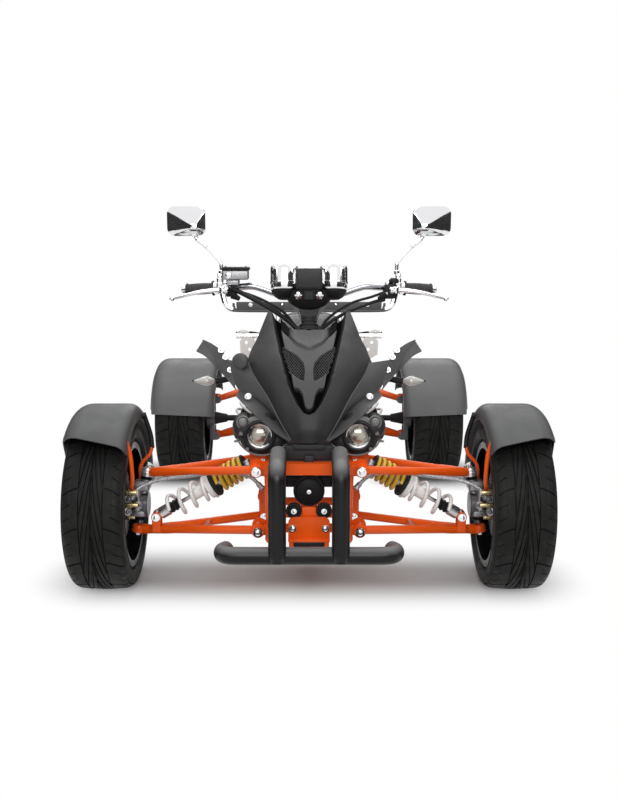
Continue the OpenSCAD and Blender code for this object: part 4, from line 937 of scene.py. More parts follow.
def makeWings():
    w, f = wingShape, finShape
    bm = bmesh.new()
    crease = [hoodAt(1.0, t) + Vector((0.6, 1.0, -0.4)) for t in w["crease"]]
    loft(bm, [crease, w["fold"]], w["steps"], 8)
    low = smoothPath(w["fold"], w["steps"])[:round(w["steps"] * 4 / 6) + 1]
    loft(bm, [[low[0], low[6], low[12], low[18], low[24]], w["brim"]], 24, 3)
    loft(bm, [f["outer"], f["fold"], f["inner"]], f["steps"], 5)
    bmesh.ops.recalc_face_normals(bm, faces=bm.faces)
    bmesh.ops.solidify(bm, geom=bm.faces[:], thickness=w["wall"])
    bead = [hoodAt(1.0, 3.0 * k / 40) + Vector((0.4, -0.4, 0)) for k in range(41)]
    sweep(bm, bead, 1.9, 8)
    sweep(bm, [p + Vector((0.5, -1.2, 0.6)) for p in smoothPath(f["fold"], f["steps"])], 1.6, 8)
    finishPiece(bm, "wingsAndFins", "wingPlastic", "chassis", ["side_wings"], sharp=34,
                both=True)
    bm = bmesh.new()
    for at, out in wingBolts:
        bolt(bm, Vector(at) + Vector(out).normalized() * 1.0, out, 6.0)
    finishPiece(bm, "wingBolts", "chrome", "chassis", both=True)
    bm = bmesh.new()
    way = Vector((-0.2, -0.98, 0.0))
    rows = [(0, 17), (12, 16.6), (19, 15.2), (22, 12.5), (22.6, 9), (22.6, 3), (21.5, 1), (21.5, 0), (0, 0)]
    revolve(bm, rows, (-188, -618, 643), way, 44)
    finishPiece(bm, "sideCap", "fenderPlastic", "chassis", ["filler_cap"])


makeWings()
print("wings and fins made")

# Shocks: an open white coil below, a black ring and a close yellow coil above, in mm from the low eye;
# a coil is start, end, turns, radius and wire, a band is start, end, radius, bore and rounding
shockShape = dict(white=(50, 178, 3.2, 32.0, 5.4), yellow=(213, 302, 5.2, 29.5, 5.8),
                  ring=(196, 210, 39.0, 15.0, 3.0), bump=(46, 84, 16.0), head=(304, 312, 33.0, 15.0, 2.0),
                  cups=[(178, 196, 36.0, 15.0, 2.0), (188, 193, 40.0, 30.0, 1.0),
                        (124, 186, 16.5, 5.0, 3.0)],
                  rods=[(30, 130, 5.5, 1.0, 0.5), (12, 46, 17.0, 2.0, 3.0), (200, 325, 14.0, 2.0, 2.0)],
                  eye=[(6.2, -13), (12, -13), (13, -12), (13, 12), (12, 13), (6.2, 13)], long=340.0)
shocks = [(Vector((425, -653, 212)), Vector((150, -660, 372))),
          (Vector((292, 650, 220)), Vector((150, 648, 478)))]


def helix(bm, low, way, start, end, turns, radius, wire):
    place = facing(low + way * start, way)
    steps = round(turns * 26)
    turned = place @ Matrix.Translation((radius, 0, 0)) @ Matrix.Rotation(math.pi / 2, 4, "X")
    ring = bmesh.ops.create_circle(bm, cap_ends=False, segments=10, radius=wire, matrix=turned)["verts"]
    edges = edgesOf(ring)
    grown = bmesh.ops.spin(bm, geom=ring + edges, cent=low, axis=way, angle=math.tau * turns, steps=steps,
                           dvec=way * ((end - start) / steps))["geom_last"]
    bmesh.ops.holes_fill(bm, edges=edges + only(bmesh.types.BMEdge, grown), sides=10)


def makeShocks():
    s = shockShape
    white, yellow, dark, bright, steel = [bmesh.new() for k in range(5)]
    for low, high in shocks:
        way = (high - low).normalized()
        share = (high - low).length / s["long"]

        def spring(bm, start, end, turns, radius, wire):
            helix(bm, low, way, start * share, end * share, turns, radius, wire)

        def band(bm, start, end, radius, inner, soft):
            start, end = start * share, end * share
            rows = [(inner, start), (radius - soft, start), (radius, start + soft), (radius, end - soft),
                    (radius - soft, end), (inner, end)]
            revolve(bm, rows, low, way, 40, closed=True)

        spring(white, *s["white"])
        spring(yellow, *s["yellow"])
        band(dark, *s["ring"])
        for k in range(3):
            step = (s["bump"][1] - s["bump"][0]) / 3
            band(dark, s["bump"][0] + k * step, s["bump"][0] + (k + 1) * step, s["bump"][2], 5.0, 4.0)
        band(dark, *s["head"])
        for row in s["cups"]:
            band(bright, *row)
        for row in s["rods"]:
            band(steel, *row)
        for end in (low, high):
            revolve(steel, s["eye"], end, (0, 1, 0), 28, closed=True)
    finishPieces([(white, "whiteCoils", "coilWhite", "spring", "coil_springs"),
                  (yellow, "yellowCoils", "coilYellow", "spring"),
                  (dark, "shockRings", "softBlack", "rubber"),
                  (bright, "shockBodies", "coilWhite", "spring"),
                  (steel, "shockRods", "brakeSteel", "steel", "dampers")],
                 "chassis", both=True)


makeShocks()
print("shocks made")

# Hoses and cables swept along smoothed paths, in mm
brakeHose = [(121.3, -808, 330), (160, -792, 360), (230, -756, 362), (320, -722, 342), (410, -712, 328),
             (462, -722, 308), (480, -742, 282)]
hoseShape = dict(steps=56, sides=12, ferrule=4, swell=1.45)
hoseRows = [
    ("brakeHoseLeft", brakeHose, 5.0, "braidedHose", "knuckle_body_left", ["brake_hose_left"]),
    ("brakeHoseRight", [flip(p) for p in brakeHose], 5.0, "braidedHose", "knuckle_body_right",
     ["brake_hose_right"]),
    ("clutchHose",
     [(-30, -454, 680), (-42, -444, 722), (-104, -436, 768), (-190, -414, 814), (-230, -398, 830)], 7.0,
     "softBlack", "steering", ["control_cables"]),
    ("throttleCable",
     [(28, -454, 680), (40, -444, 716), (98, -432, 756), (176, -406, 786), (223, -382, 798)], 5.0,
     "softBlack", "steering", []),
    ("chokeCable", [(22, -446, 684), (52, -426, 740), (120, -412, 786), (186, -396, 806), (232, -384, 822)],
     4.0, "softBlack", "steering", []),
    ("switchLead",
     [(-20, -448, 686), (-64, -424, 752), (-120, -420, 790), (-172, -410, 812), (-226, -392, 826)], 4.0,
     "softBlack", "steering", []),
]


def makeHoses():
    s = hoseShape
    for name, points, radius, look, body, replaced in hoseRows:
        points = [Vector(p) for p in points]
        sizes = [radius] * (s["steps"] + 1)
        for k in range(s["ferrule"]):
            sizes[k] = sizes[-1 - k] = radius * s["swell"]
        bm = bmesh.new()
        sweep(bm, smoothPath(points, s["steps"]), sizes, s["sides"])
        piece = finishPiece(bm, name, look, None, replaced)
        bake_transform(piece)


makeHoses()
print("hoses made")

# Headlamps, in mm from the lamp's centre along its outward axis, and the pods that carry them
lampShape = dict(at=(130, -772, 464), out=(0.0, -1.0, 0.0),
                 bezel=[(29.2, -6), (29.2, 4), (31, 7.5), (34, 8), (34.5, 5.5), (37.5, 5), (39, 3),
                        (39, -2)],
                 bowl=[(28.6, 5.0), (28.8, 3.0), (27, -2), (22, -12), (14, -20), (6, -23), (0, -23.5)],
                 ball=[(0, 4.5), (6, 3.9), (12, 2.0), (18, -1.6), (22.5, -6.5), (25, -13), (25, -18),
                       (0, -20)],
                 rim=[(25.2, -9), (25.6, -3.5), (26.6, 0.5), (28.2, 1.4), (28.2, -9)],
                 glass=[(0, 11), (8, 10.2), (16, 7.6), (23, 3.2), (27.4, -1.5), (27.4, -3.5), (22.6, 1.4),
                        (16, 5.6), (8, 8.2), (0, 9)],
                 shell=[(33.4, -24), (33.4, -3), (40, -3), (43, -1), (45, -4), (46, -9), (51, -10),
                        (54, -14), (57, -22), (58, -36), (54, -58), (40, -74), (30, -76)],
                 lobes=[((170, -738, 484), (34, 40, 36)), ((92, -742, 448), (40, 34, 36)),
                        ((186, -722, 470), (18, 30, 30))],
                 brow=(44, 54, -6, 6, 85, 124), tab=(45, 55, -9, 3, 138, 178), grow=1.13,
                 lip=[(190, -752, 452), (178, -764, 434), (152, -776, 418), (120, -784, 414),
                      (88, -788, 424), (58, -796, 446)],
                 podBoxes=[((78, -835, 403.5), (102, -735, 411), 2),
                           ((78, -756, 406), (102, -732, 450), 3)],
                 lipBoxes=[((184, -774, 446), (198, -760, 450), 1.5),
                           ((158, -786, 424), (166, -774, 434), 2)],
                 chinBoxes=[((-64, -806, 404), (64, -770, 446), 6), ((-12, -818, 392), (12, -800, 420), 3),
                            ((-42, -813, 433), (42, -800, 449), 4)],
                 knob=[(0, 11), (7, 10), (11, 6), (12.5, 0), (12.5, -8), (0, -8)],
                 knobRing=[(14, -6), (17, -5), (18, -1), (16, 1), (14, 0)], knobAt=(174, -772, 500),
                 knobWay=(0.1, -0.95, 0.25))


def arcBlock(bm, at, inner, outer, back, ahead, start, end):
    # a rounded block bent round the lamp between two angles
    outline = [(inner, back), (outer, back), (outer, ahead - 3), (outer - 3, ahead), (inner, ahead)]
    corners = [bm.verts.new((r, 0, h)) for r, h in outline]
    edges = [bm.edges.new(pair) for pair in zip(corners, corners[1:] + corners[:1])]
    before = set(bm.verts) - set(corners)
    first = bmesh.ops.contextual_create(bm, geom=edges)["faces"]
    bmesh.ops.spin(bm, geom=first, cent=(0, 0, 0), axis=(0, 0, 1), angle=math.radians(end - start),
                   steps=14, dvec=(0, 0, 0))
    fresh = newVerts(bm, before)
    stand = Matrix.Translation(at) @ Matrix.Rotation(math.pi / 2, 4, "X")
    turn = Matrix.Rotation(math.radians(180 - end), 4, "Z")
    bmesh.ops.transform(bm, verts=fresh, matrix=stand @ turn)


def makeHeadlamps():
    s = lampShape
    rows = [("glass", "lampGlass", "lampGlass", "lens", ["headlight_lenses"]),
            ("bowl", "lampBowls", "chrome", "chrome", []), ("ball", "lampBalls", "warmGlass", "lens", []),
            ("rim", "lampRims", "brightAlloy", "chrome", []),
            ("bezel", "lampBezels", "satinBlack", "black_plastic", [])]
    for key, name, look, slot, replaced in rows:
        bm = bmesh.new()
        grown = [(r * s["grow"], h) for r, h in s[key]]
        revolve(bm, grown, s["at"], s["out"], 56, closed=key in ("bezel", "rim"))
        finishPiece(bm, name, look, "chassis", replaced, sharp=30, both=True)
    dark, grey = bmesh.new(), bmesh.new()
    revolve(dark, s["shell"], s["at"], s["out"], 56, closed=True)
    for at, size in s["lobes"]:
        place = Matrix.Translation(at) @ Matrix.Diagonal((*size, 1.0))
        bmesh.ops.create_icosphere(dark, subdivisions=4, radius=1.0, matrix=place)
    softBoxes(dark, s["podBoxes"])
    for key in ("brow", "tab"):
        arcBlock(grey, s["at"], *s[key])
    revolve(grey, s["knob"], s["knobAt"], s["knobWay"], 28)
    revolve(grey, s["knobRing"], s["knobAt"], s["knobWay"], 32, closed=True)
    sweep(grey, smoothPath(s["lip"], 48), 2.2, 10)
    softBoxes(grey, s["lipBoxes"])
    for bm in (dark, grey):
        mirrored(bm)
    softBoxes(dark, s["chinBoxes"])
    finishPieces([(dark, "lampPods", "cowlPlastic", "black_plastic", "headlight_pods"),
                  (grey, "podTrim", "podGrey", "black_plastic")],
                 "chassis", sharp=40)


makeHeadlamps()
print("headlamps made")

# Bars and controls, in mm; all of them turn with the steering
barShape = dict(rise=(168, -374.9, 836), end=(372, -343.6, 823.8), mid=(72, -384.9, 810.1), radius=11.0,
                grip=(290, 364), gripRadius=16.0, ribs=15, ribDepth=1.4, swell=1.2, cap=364)


def onBar(x):
    rise, end = Vector(barShape["rise"]), Vector(barShape["end"])
    return rise + (end - rise) * ((x - rise.x) / (end.x - rise.x))


def makeBars():
    s = barShape
    way = (Vector(s["end"]) - Vector(s["rise"])).normalized()
    bm = bmesh.new()
    half = [(0, -384.9, 810.1), (36, -384.9, 810.1), s["mid"], (104, -382, 817.5), (138, -378, 829),
            s["rise"], (205, -369.2, 833.8), (290, -356.2, 828.7), s["end"]]
    sweep(bm, smoothPath(half, 70), s["radius"], 20)
    finishPiece(bm, "barTube", "darkChrome", "steering", ["handlebar"], both=True)
    bm = bmesh.new()
    start, stop = s["grip"]
    long = stop - start
    rows = [(11.4, -6), (22, -6), (22, -2), (s["gripRadius"], 0)]
    for k in range(s["ribs"]):
        rise = long * k / s["ribs"]
        step = long / s["ribs"]
        swell = s["swell"] * math.sin(math.pi * k / s["ribs"])
        thin, full = s["gripRadius"] - s["ribDepth"] + swell, s["gripRadius"] + swell
        rows += [(thin, rise + 0.15 * step), (full, rise + 0.3 * step), (full, rise + 0.85 * step),
                 (thin, rise + step)]
    rows += [(18.5, long), (18.5, long + 3), (11.4, long + 3)]
    revolve(bm, rows, onBar(start), way, 36, closed=True)
    finishPiece(bm, "ribbedGrips", "gripRubber", "steering", ["grips"], sharp=50, both=True)
    bm = bmesh.new()
    cap = [(0, 15), (8, 14.5), (12, 12), (13, 8), (13, 3), (10.5, 2), (10.5, 0), (0, 0)]
    revolve(bm, cap, onBar(s["cap"]) + way * 3, way, 32)
    lever = smoothPath([(254, -425, 827), (280, -431, 826.5), (323, -430, 821), (366, -426, 810.5),
                        (399, -420, 802)],
                       40)
    sweep(bm, lever, [mix(7.2, 4.4, k / 40) for k in range(41)], 14)
    bmesh.ops.create_icosphere(bm, subdivisions=3, radius=7.5,
                               matrix=Matrix.Translation((402, -419.5, 801.5)))
    finishPiece(bm, "leversAndCaps", "chrome", "steering", ["levers"], both=True)


# Clamps, lever perches and switches on the bars; a clamp has its place along the bar, length and radius
controlShape = dict(clamps=[(228, 22, 17.5), (268, 16, 18.5)], buttons=(229, 241, 252),
                    castBoxes=[((-254, -412, 856), (-178, -366, 884), 4),
                               ((-244, -398, 838), (-206, -362, 858), 4)],
                    darkBoxes=[((-257, -415, 883), (-175, -363, 893), 3),
                               ((222, -404, 800), (260, -352, 842), 5),
                               ((-246, -404, 806), (-214, -356, 834), 5)],
                    pivot=[(0, 10), (9, 10), (10.5, 8), (10.5, -8), (9, -10), (0, -10)],
                    post=[(0, 44), (6, 44), (7.5, 40), (7.5, 30), (10, 28), (10, 16), (12, 14), (12, 0),
                          (0, 0)])


def makeControls():
    s = controlShape
    bright, dark, grey = bmesh.new(), bmesh.new(), bmesh.new()
    way = (onBar(300) - onBar(200)).normalized()
    for side in (-1, 1):
        axis = Vector((side * way.x, way.y, way.z))
        for x, long, radius in s["clamps"]:
            at = onBar(x)
            at.x *= side
            rows = [(11.3, 0), (radius - 2, 0), (radius, 2), (radius, long - 2), (radius - 2, long),
                    (11.3, long)]
            revolve(bright, rows, at, axis, 32, closed=True)
        softBox(bright, (side * 250 - 15, -434, 818), (side * 250 + 15, -372, 836), 5)
        revolve(bright, s["pivot"], (side * 254, -427, 827), (0, 0, 1), 28)
        revolve(bright, s["post"], (side * 264, -374, 831), (0, 0, 1), 6)
        bolt(bright, (side * 250, -434, 827), (0, -1, 0), 4.5)
        for k in range(5):                                  # folds of the rubber boot at the lever's root
            at = Vector((side * 226, -412, 812)) + Vector((-side * 4.4, -1.2, -2.2)) * k
            fold = [(6, 0), (11 - k, 1.2), (11 - k, 4), (6, 5.2)]
            revolve(dark, fold, at, (-side * 0.87, -0.24, -0.43), 20, closed=True)
    softBoxes(grey, s["castBoxes"])
    softBoxes(dark, s["darkBoxes"])
    revolve(bright, [(0, 3), (7, 3), (9, 2), (9.5, 0), (0, 0)], (-236, -412, 869), (0, -1, 0), 28)
    for x in (-246, -186):
        bolt(bright, (x, -389, 893), (0, 0, 1), 3.4, False)
    for k, x in enumerate(s["buttons"]):
        softBox(grey, (x - 4, -408, 812 + 4 * k), (x + 4, -402, 820 + 4 * k), 1.5)
    revolve(dark, [(0, 14), (10, 14), (15, 8), (15, 0), (0, 0)], (252, -378, 846), (0, 0, 1), 24)
    finishPieces([(bright, "brightControls", "chrome", "chrome", "hand_controls"),
                  (dark, "darkControls", "softBlack", "black_plastic"),
                  (grey, "castControls", "castAlloy", "cast")],
                 "steering", sharp=34)


makeBars()
makeControls()
print("bars and controls made")

# Mirrors: a chrome back drawn to a knot, glass behind, a bent stalk with a sleeve; mm, left side
mirrorShape = dict(head=(362, -366, 1026), wide=112.0, high=86.0, corner=23.0, knot=(-27, -17),
                   rings=[(1.0, 5, 0.0), (0.97, 9, 0.0), (0.74, 16, 0.22), (0.48, 23, 0.50),
                          (0.25, 30, 0.78), (0.16, 33, 0.90)],
                   stalk=[(260, -374, 872), (260, -374, 894), (265, -373, 909), (305, -370, 953),
                          (330, -368, 973), (337, -367, 986)])


def makeMirrors():
    s = mirrorShape
    stand = Matrix.Translation(s["head"]) @ Matrix.Rotation(math.pi / 2, 4, "X")
    bm = bmesh.new()
    bmesh.ops.create_grid(bm, x_segments=1, y_segments=1, size=0.5)
    bmesh.ops.scale(bm, verts=bm.verts, vec=(s["wide"], s["high"], 1))
    bevel(bm, bm.verts[:], s["corner"], 7, "VERTICES")
    glass = bm.copy()
    face, share, centre = next(iter(bm.faces)), 1.0, Vector()
    for nextShare, deep, drift in s["rings"]:
        grown = bmesh.ops.extrude_face_region(bm, geom=[face])["geom"]
        face = next(g for g in grown if isinstance(g, bmesh.types.BMFace))
        target = Vector((s["knot"][0] * drift, s["knot"][1] * drift, deep))
        for v in face.verts:
            v.co = (v.co - centre) * (nextShare / share) + target
        share, centre = nextShare, target
    bmesh.ops.transform(bm, verts=bm.verts, matrix=stand)
    finishPiece(bm, "mirrorBacks", "chrome", "steering", ["mirrors"], sharp=40, both=True)
    bmesh.ops.inset_region(glass, faces=glass.faces[:], thickness=4.0, depth=-1.0)
    bmesh.ops.recalc_face_normals(glass, faces=glass.faces)
    bmesh.ops.solidify(glass, geom=glass.faces[:], thickness=2.5)
    bmesh.ops.transform(glass, verts=glass.verts, matrix=stand)
    finishPiece(glass, "mirrorGlasses", "mirrorGlass", "steering", both=True)
    bm = bmesh.new()
    sizes = [8.0] * 5 + [5.2] * 25 + [7.4] * 11 + [6.0] * 10  # nut, rod, sleeve, neck
    sweep(bm, smoothPath(s["stalk"], 50), sizes, 16)
    revolve(bm, [(0, 12), (7, 11), (10, 7), (10.5, 0), (9, -8), (0, -9)], (337, -372, 990), (0.2, -0.3, 1),
            24)
    finishPiece(bm, "mirrorStalks", "chrome", "steering", both=True)


makeMirrors()
print("mirrors made")

# Gauges: two chrome pods with a ring band in black cups, a box between them and a dish below, in mm
gaugeShape = dict(at=(72, -417, 862), way=(0, 0.208, 0.978), ticks=11, dish=(0, -425, 828),
                  dishSize=(74.0, 40.0, 60.0),
                  pod=[(0, 26), (33, 26), (33.5, 31), (36, 34.5), (38.6, 33), (40.4, 28), (40.6, 20),
                       (40.6, -13), (42.2, -14), (42.2, -18), (40.6, -19), (40.4, -30), (37.5, -36),
                       (0, -36)],
                  cup=[(0, -63), (17, -63), (28, -56), (36, -46), (38.5, -38), (38.5, -36.4), (0, -36.4)],
                  boxes=[((-37.5, -495, 834), (37.5, -459, 892), 3),
                         ((-34, -497, 838), (34, -493, 888), 1.5), ((-15, -466, 800), (15, -426, 850), 4)])


def makeGauges():
    s = gaugeShape
    chromed, black, boxed, marks = [bmesh.new() for k in range(4)]
    revolve(chromed, s["pod"], s["at"], s["way"], 56)
    revolve(black, s["cup"], s["at"], s["way"], 48)
    revolve(black, [(0, 27.4), (31.5, 27.4), (32, 27), (32, 26.2), (0, 26.2)], s["at"], s["way"], 48)
    turn = facing(s["at"], s["way"])
    for k in range(s["ticks"]):
        angle = math.radians(-130 + 260 * k / (s["ticks"] - 1))
        spot = turn @ Matrix.Rotation(angle, 4, "Z") @ Matrix.Translation((0, 25.5, 27.6))
        bmesh.ops.create_cube(marks, size=1.0, matrix=spot @ Matrix.Diagonal((1.6, 6.0, 0.8, 1.0)))
    needle = turn @ Matrix.Rotation(math.radians(118), 4, "Z") @ Matrix.Translation((0, 10, 28.4))
    bmesh.ops.create_cube(marks, size=1.0, matrix=needle @ Matrix.Diagonal((1.8, 24.0, 0.8, 1.0)))
    revolve(marks, [(0, 31), (3.5, 31), (4, 30), (4, 27.5), (0, 27.5)], s["at"], s["way"], 20)
    for bm in (chromed, black, marks):
        mirrored(bm)
    rows = [(math.sin(a), -math.cos(a)) for a in [math.pi / 2 * k / 10 for k in range(11)]]
    before = set(black.verts)
    revolve(black, rows + [(0.94, 0.0)] + [(r * 0.94, h * 0.92) for r, h in rows[::-1]], (0, 0, 0),
            (0, 0, 1), 48)
    fresh = newVerts(black, before)
    bmesh.ops.scale(black, verts=fresh, vec=s["dishSize"])
    bmesh.ops.translate(black, verts=fresh, vec=s["dish"])
    softBoxes(boxed, s["boxes"])
    for x in (-31, 31):
        revolve(chromed, [(0, 6), (8, 6), (11, 4), (11, -4), (0, -4)], (x, -463, 814), (0, -0.95, -0.3), 24)
        bolt(chromed, (x, -468, 812.5), (0, -0.95, -0.3), 4.5, False)
    finishPieces([(chromed, "gaugePods", "chrome", "chrome", "gauge_pods"),
                  (black, "gaugeCups", "softBlack", "black_plastic"),
                  (boxed, "gaugeBox", "cowlPlastic", "black_plastic", "gauge_box"),
                  (marks, "dialMarks", "coilWhite", "lens")],
                 "steering", sharp=34)


def makeBoot():
    bm = bmesh.new()
    rows = [(0, 26), (13, 26), (15, 22), (13.5, 18), (18, 13), (16.5, 8), (22, 2), (20.5, -4), (26, -10),
            (26, -16), (0, -16)]
    revolve(bm, rows, (0, -497, 728), (0, 0.34, 0.94), 36)
    bmesh.ops.scale(bm, verts=bm.verts, vec=(1.25, 0.5, 1), space=Matrix.Translation((0, 497, -728)))
    for x in (-30, 30):
        revolve(bm, [(0, 5), (6, 5), (7, 3), (7, -8), (0, -8)], (x, -505, 722), (0, -0.8, 0.6), 20)
    finishPiece(bm, "columnBoot", "softBlack", "chassis")


makeGauges()
makeBoot()
print("gauges made")

# Bumper: a low tube with turned-back ends and two uprights in front of it, in mm
bumperShape = dict(radius=22.5,
                   bar=[(-207, -890, 192), (-219, -914, 193), (-212, -944, 195), (-184, -957, 196),
                        (-94, -958, 196), (0, -958, 196)],
                   upright=[(79, -972, 184), (79, -971, 220), (79, -968, 300), (79, -964, 366),
                            (79, -957, 400), (79, -931, 416), (79, -894, 421), (79, -842, 430)])


def makeBumper():
    s = bumperShape
    bm = bmesh.new()
    half = smoothPath(s["bar"], 60)
    whole = half + [flip(p) for p in half[-2::-1]]
    sizes = [s["radius"]] * len(whole)
    for k, share in ((0, 0.62), (1, 0.86), (2, 0.97)):      # rounded ends
        sizes[k] = sizes[-1 - k] = s["radius"] * share
    sweep(bm, whole, sizes, 28)
    post = smoothPath(s["upright"], 64)
    for side in (-1, 1):
        sweep(bm, [Vector((side * p.x, p.y, p.z)) for p in post],
              [s["radius"] * (0.80 + 0.2 * ease(k, 0, 5)) for k in range(65)], 28)
    finishPiece(bm, "bumperTubes", "satinBlack", "chassis", ["front_bumper"], sharp=50)


# Front plate: a pressed panel with round upper corners, a foot flange and a bare black strip, in mm
plateShape = dict(low=(-54, 202), high=(54, 268), y=-856, corner=16.0, wall=4.0, horn=320.0,
                  hornRows=[(0, 24), (8, 24), (9.5, 22.5), (10, 19.5), (29, 18), (33, 16.5), (35, 14.5),
                            (37, 16.5), (40, 16), (41.5, 13.5), (41.5, -1), (39.5, -3), (26, -4), (26, -15),
                            (24, -17), (0, -17)],
                  bush=[(0, 5), (13, 5), (14.5, 3.5), (16, 5), (19, 5), (20.5, 3), (20.5, -9), (19, -11),
                        (0, -11)],
                  knob=[(0, 12), (9, 12), (11, 10), (11, 2), (15, 0), (15, -4), (0, -4)])


def roundPanel(bm, low, high, y, corner, wall, bulge):
    made = bmesh.ops.create_grid(bm, x_segments=1, y_segments=1, size=0.5)["verts"]
    before = set(bm.verts) - set(made)
    bmesh.ops.scale(bm, verts=made, vec=(high[0] - low[0], high[1] - low[1], 1))
    upper = [v for v in made if v.co.y > 0]
    bevel(bm, upper, corner, 8, "VERTICES")
    fresh = newVerts(bm, before)
    faces = facesOf(fresh)
    for thick, deep in ((2.0, 1.4), (5.0, bulge)):
        bmesh.ops.inset_region(bm, faces=faces, thickness=thick, depth=deep)
    fresh = newVerts(bm, before)
    geom = facesOf(fresh)
    bmesh.ops.recalc_face_normals(bm, faces=geom)
    bmesh.ops.solidify(bm, geom=geom, thickness=wall)
    fresh = newVerts(bm, before)
    middle = ((low[0] + high[0]) / 2, y, (low[1] + high[1]) / 2)
    stand = Matrix.Translation(middle) @ Matrix.Rotation(math.pi / 2, 4, "X")
    bmesh.ops.transform(bm, verts=fresh, matrix=stand)


def makePlate():
    s = plateShape
    bm = bmesh.new()
    roundPanel(bm, s["low"], s["high"], s["y"], s["corner"], s["wall"], 1.0)
    softBox(bm, (-54, -874, 204), (54, -852, 210), 2)
    for x in (-46, 46):
        softBox(bm, (x - 6, -872, 190), (x + 6, -860, 206), 2)
        softBox(bm, (x * 0.8 - 7, -854, 210), (x * 0.8 + 7, -818, 220), 2)
    softBox(bm, (-18, -852, 262), (18, -846, 291), 2)
    softBox(bm, (-37, -862.5, 257), (37, -858, 260), 1.4)
    finishPiece(bm, "pressedPlate", "orangePaint", "chassis", ["front_plate"], sharp=34)
    bm = bmesh.new()
    softBox(bm, (-40, -872, 191), (40, -866, 203), 1.5)
    finishPiece(bm, "bareStrip", "satinBlack", "chassis")
    bm = bmesh.new()
    for x in (-43, 43):
        bolt(bm, (x, -860, 237), (0, -1, 0), 6.5)
        bolt(bm, (math.copysign(39, x), -853, 281), (0, -1, 0), 4.5)
    bolt(bm, (0, -804, s["horn"]), (0, -1, 0), 3.6)
    finishPiece(bm, "plateBolts", "chrome", "chassis")
    bm = bmesh.new()
    for x in (-39, 39):                                     # rubber bushes behind the plate
        revolve(bm, s["bush"], (x, -848, 281), (0, -1, 0), 40)
    revolve(bm, s["hornRows"], (0, -780, s["horn"]), (0, -1, 0), 60)
    softBox(bm, (-12, -770, s["horn"] - 4), (12, -765, 372), 1.5)
    softBox(bm, (-12, -820, 368.5), (12, -765, 374), 1.5)
    softBox(bm, (-86, -765, 322), (86, -753, 352), 4)       # bar behind the horn
    for x in (-70, 70):
        revolve(bm, s["knob"], (x, -765, 337), (0, -1, 0), 32)
    finishPiece(bm, "hornAndBushes", "softBlack", "chassis", ["horn"], sharp=34)


makeBumper()
makePlate()
print("bumper and plate made")

# Front wishbones and their ball joints, in mm, left side
lowBall, highBall = Vector((478, -628, 190)), Vector((455, -612, 330))
kingpinWay = (highBall - lowBall).normalized()
armShape = dict(radius=11.5, upper=[(135, -842, 388), (135, -502, 346)], upperOut=(438, -621, 329),
                lower=[(132, -842, 228), (132, -482, 166)], lowerOut=(446, -636, 168),
                can=[(0, -12), (15, -12), (17, -10), (17, -3), (18, -2), (18, 2), (17, 3), (17, 8),
                     (14.5, 11.5), (9, 12), (9, 15), (0, 15.5)],
                nut=[(0, -40), (7, -40), (7, -34), (11, -34), (11, -24), (0, -24)])


def makeArms():
    s = armShape
    orange, bright, bolts = bmesh.new(), bmesh.new(), bmesh.new()
    bush = [(6.3, -20), (15, -20), (16, -19), (16, 19), (15, 20), (6.3, 20)]
    for ends, out in ((s["upper"], s["upperOut"]), (s["lower"], s["lowerOut"])):
        for end in ends:
            start, stop = Vector(end), Vector(out)
            path = [start.lerp(stop, 0.03 + 0.97 * k / 12) for k in range(13)]
            sweep(orange, path, [s["radius"] * (1.0 if k < 10 else 1.12) for k in range(13)], 20)
            revolve(orange, bush, end, (0, 1, 0), 32, closed=True)
    up = highBall - kingpinWay * 4
    out = Vector(s["upperOut"])
    sweep(orange, [out, out.lerp(up, 0.4), out.lerp(up, 0.75)], [13, 12, 8], 20)
    down = lowBall - kingpinWay * 24
    sweep(orange, [s["lowerOut"], (462, -632, 167), (478, -628, 166), (490, -624, 165), (498, -621, 164.5)],
          [13, 14.5, 14.5, 11.5, 5], 24)
    revolve(orange, [(8.4, -8), (17, -8), (18, -6), (18, 10), (16, 13), (8.4, 13)], down, kingpinWay, 32,
            closed=True)
    near = Vector(s["lower"][0]).lerp(Vector(s["lowerOut"]), 0.5)
    far = Vector(s["lower"][1]).lerp(Vector(s["lowerOut"]), 0.5)
    sweep(orange, [near, near.lerp(far, 0.5), far], 9.0, 16)
    for y in (-679, -641):                                  # drop plates at the shock's head
        softBox(orange, (137, y - 2.5, 357), (163, y + 2.5, 418), 2)
    for y in (-670, -636):                                  # ears for the shock
        softBox(orange, (413, y - 3, 168), (437, y + 3, 213), 2)
        revolve(orange, [(0, -3), (13, -3), (14, -2), (14, 2), (13, 3), (0, 3)], (425, y, 212), (0, 1, 0), 32)
    # drop plates under the frame's rear tabs
    for (x, y, z), top in ((s["upper"][1], 394), (s["lower"][1], 234)):
        for side in (-1, 1):
            softBox(orange, (x - 15, y + side * 23.5 - 2.5, z - 14), (x + 15, y + side * 23.5 + 2.5, top), 2)
        bolt(bolts, (x, y - 26, z), (0, -1, 0), 7.0)
        revolve(bolts, [(0, -24), (5.8, -24), (5.8, 24), (0, 24)], (x, y, z), (0, 1, 0), 20)
    revolve(bright, s["can"], up, kingpinWay, 36)
    revolve(bright, s["nut"], lowBall, kingpinWay, 6)
    bolt(bright, up + kingpinWay * 15, kingpinWay, 6.0, False)
    for z, x in ((388, 135), (228, 132)):
        bolt(bolts, (x, -866, z), (0, -1, 0), 7.5)
    bolt(bolts, (425, -673, 212), (0, -1, 0), 7.0)
    finishPieces([(orange, "frontWishbones", "orangePaint", "orange", "front_arms"),
                  (bright, "ballJoints", "brightAlloy", "chrome"), (bolts, "armBolts", "chrome", "chrome")],
                 "chassis", sharp=34, both=True)


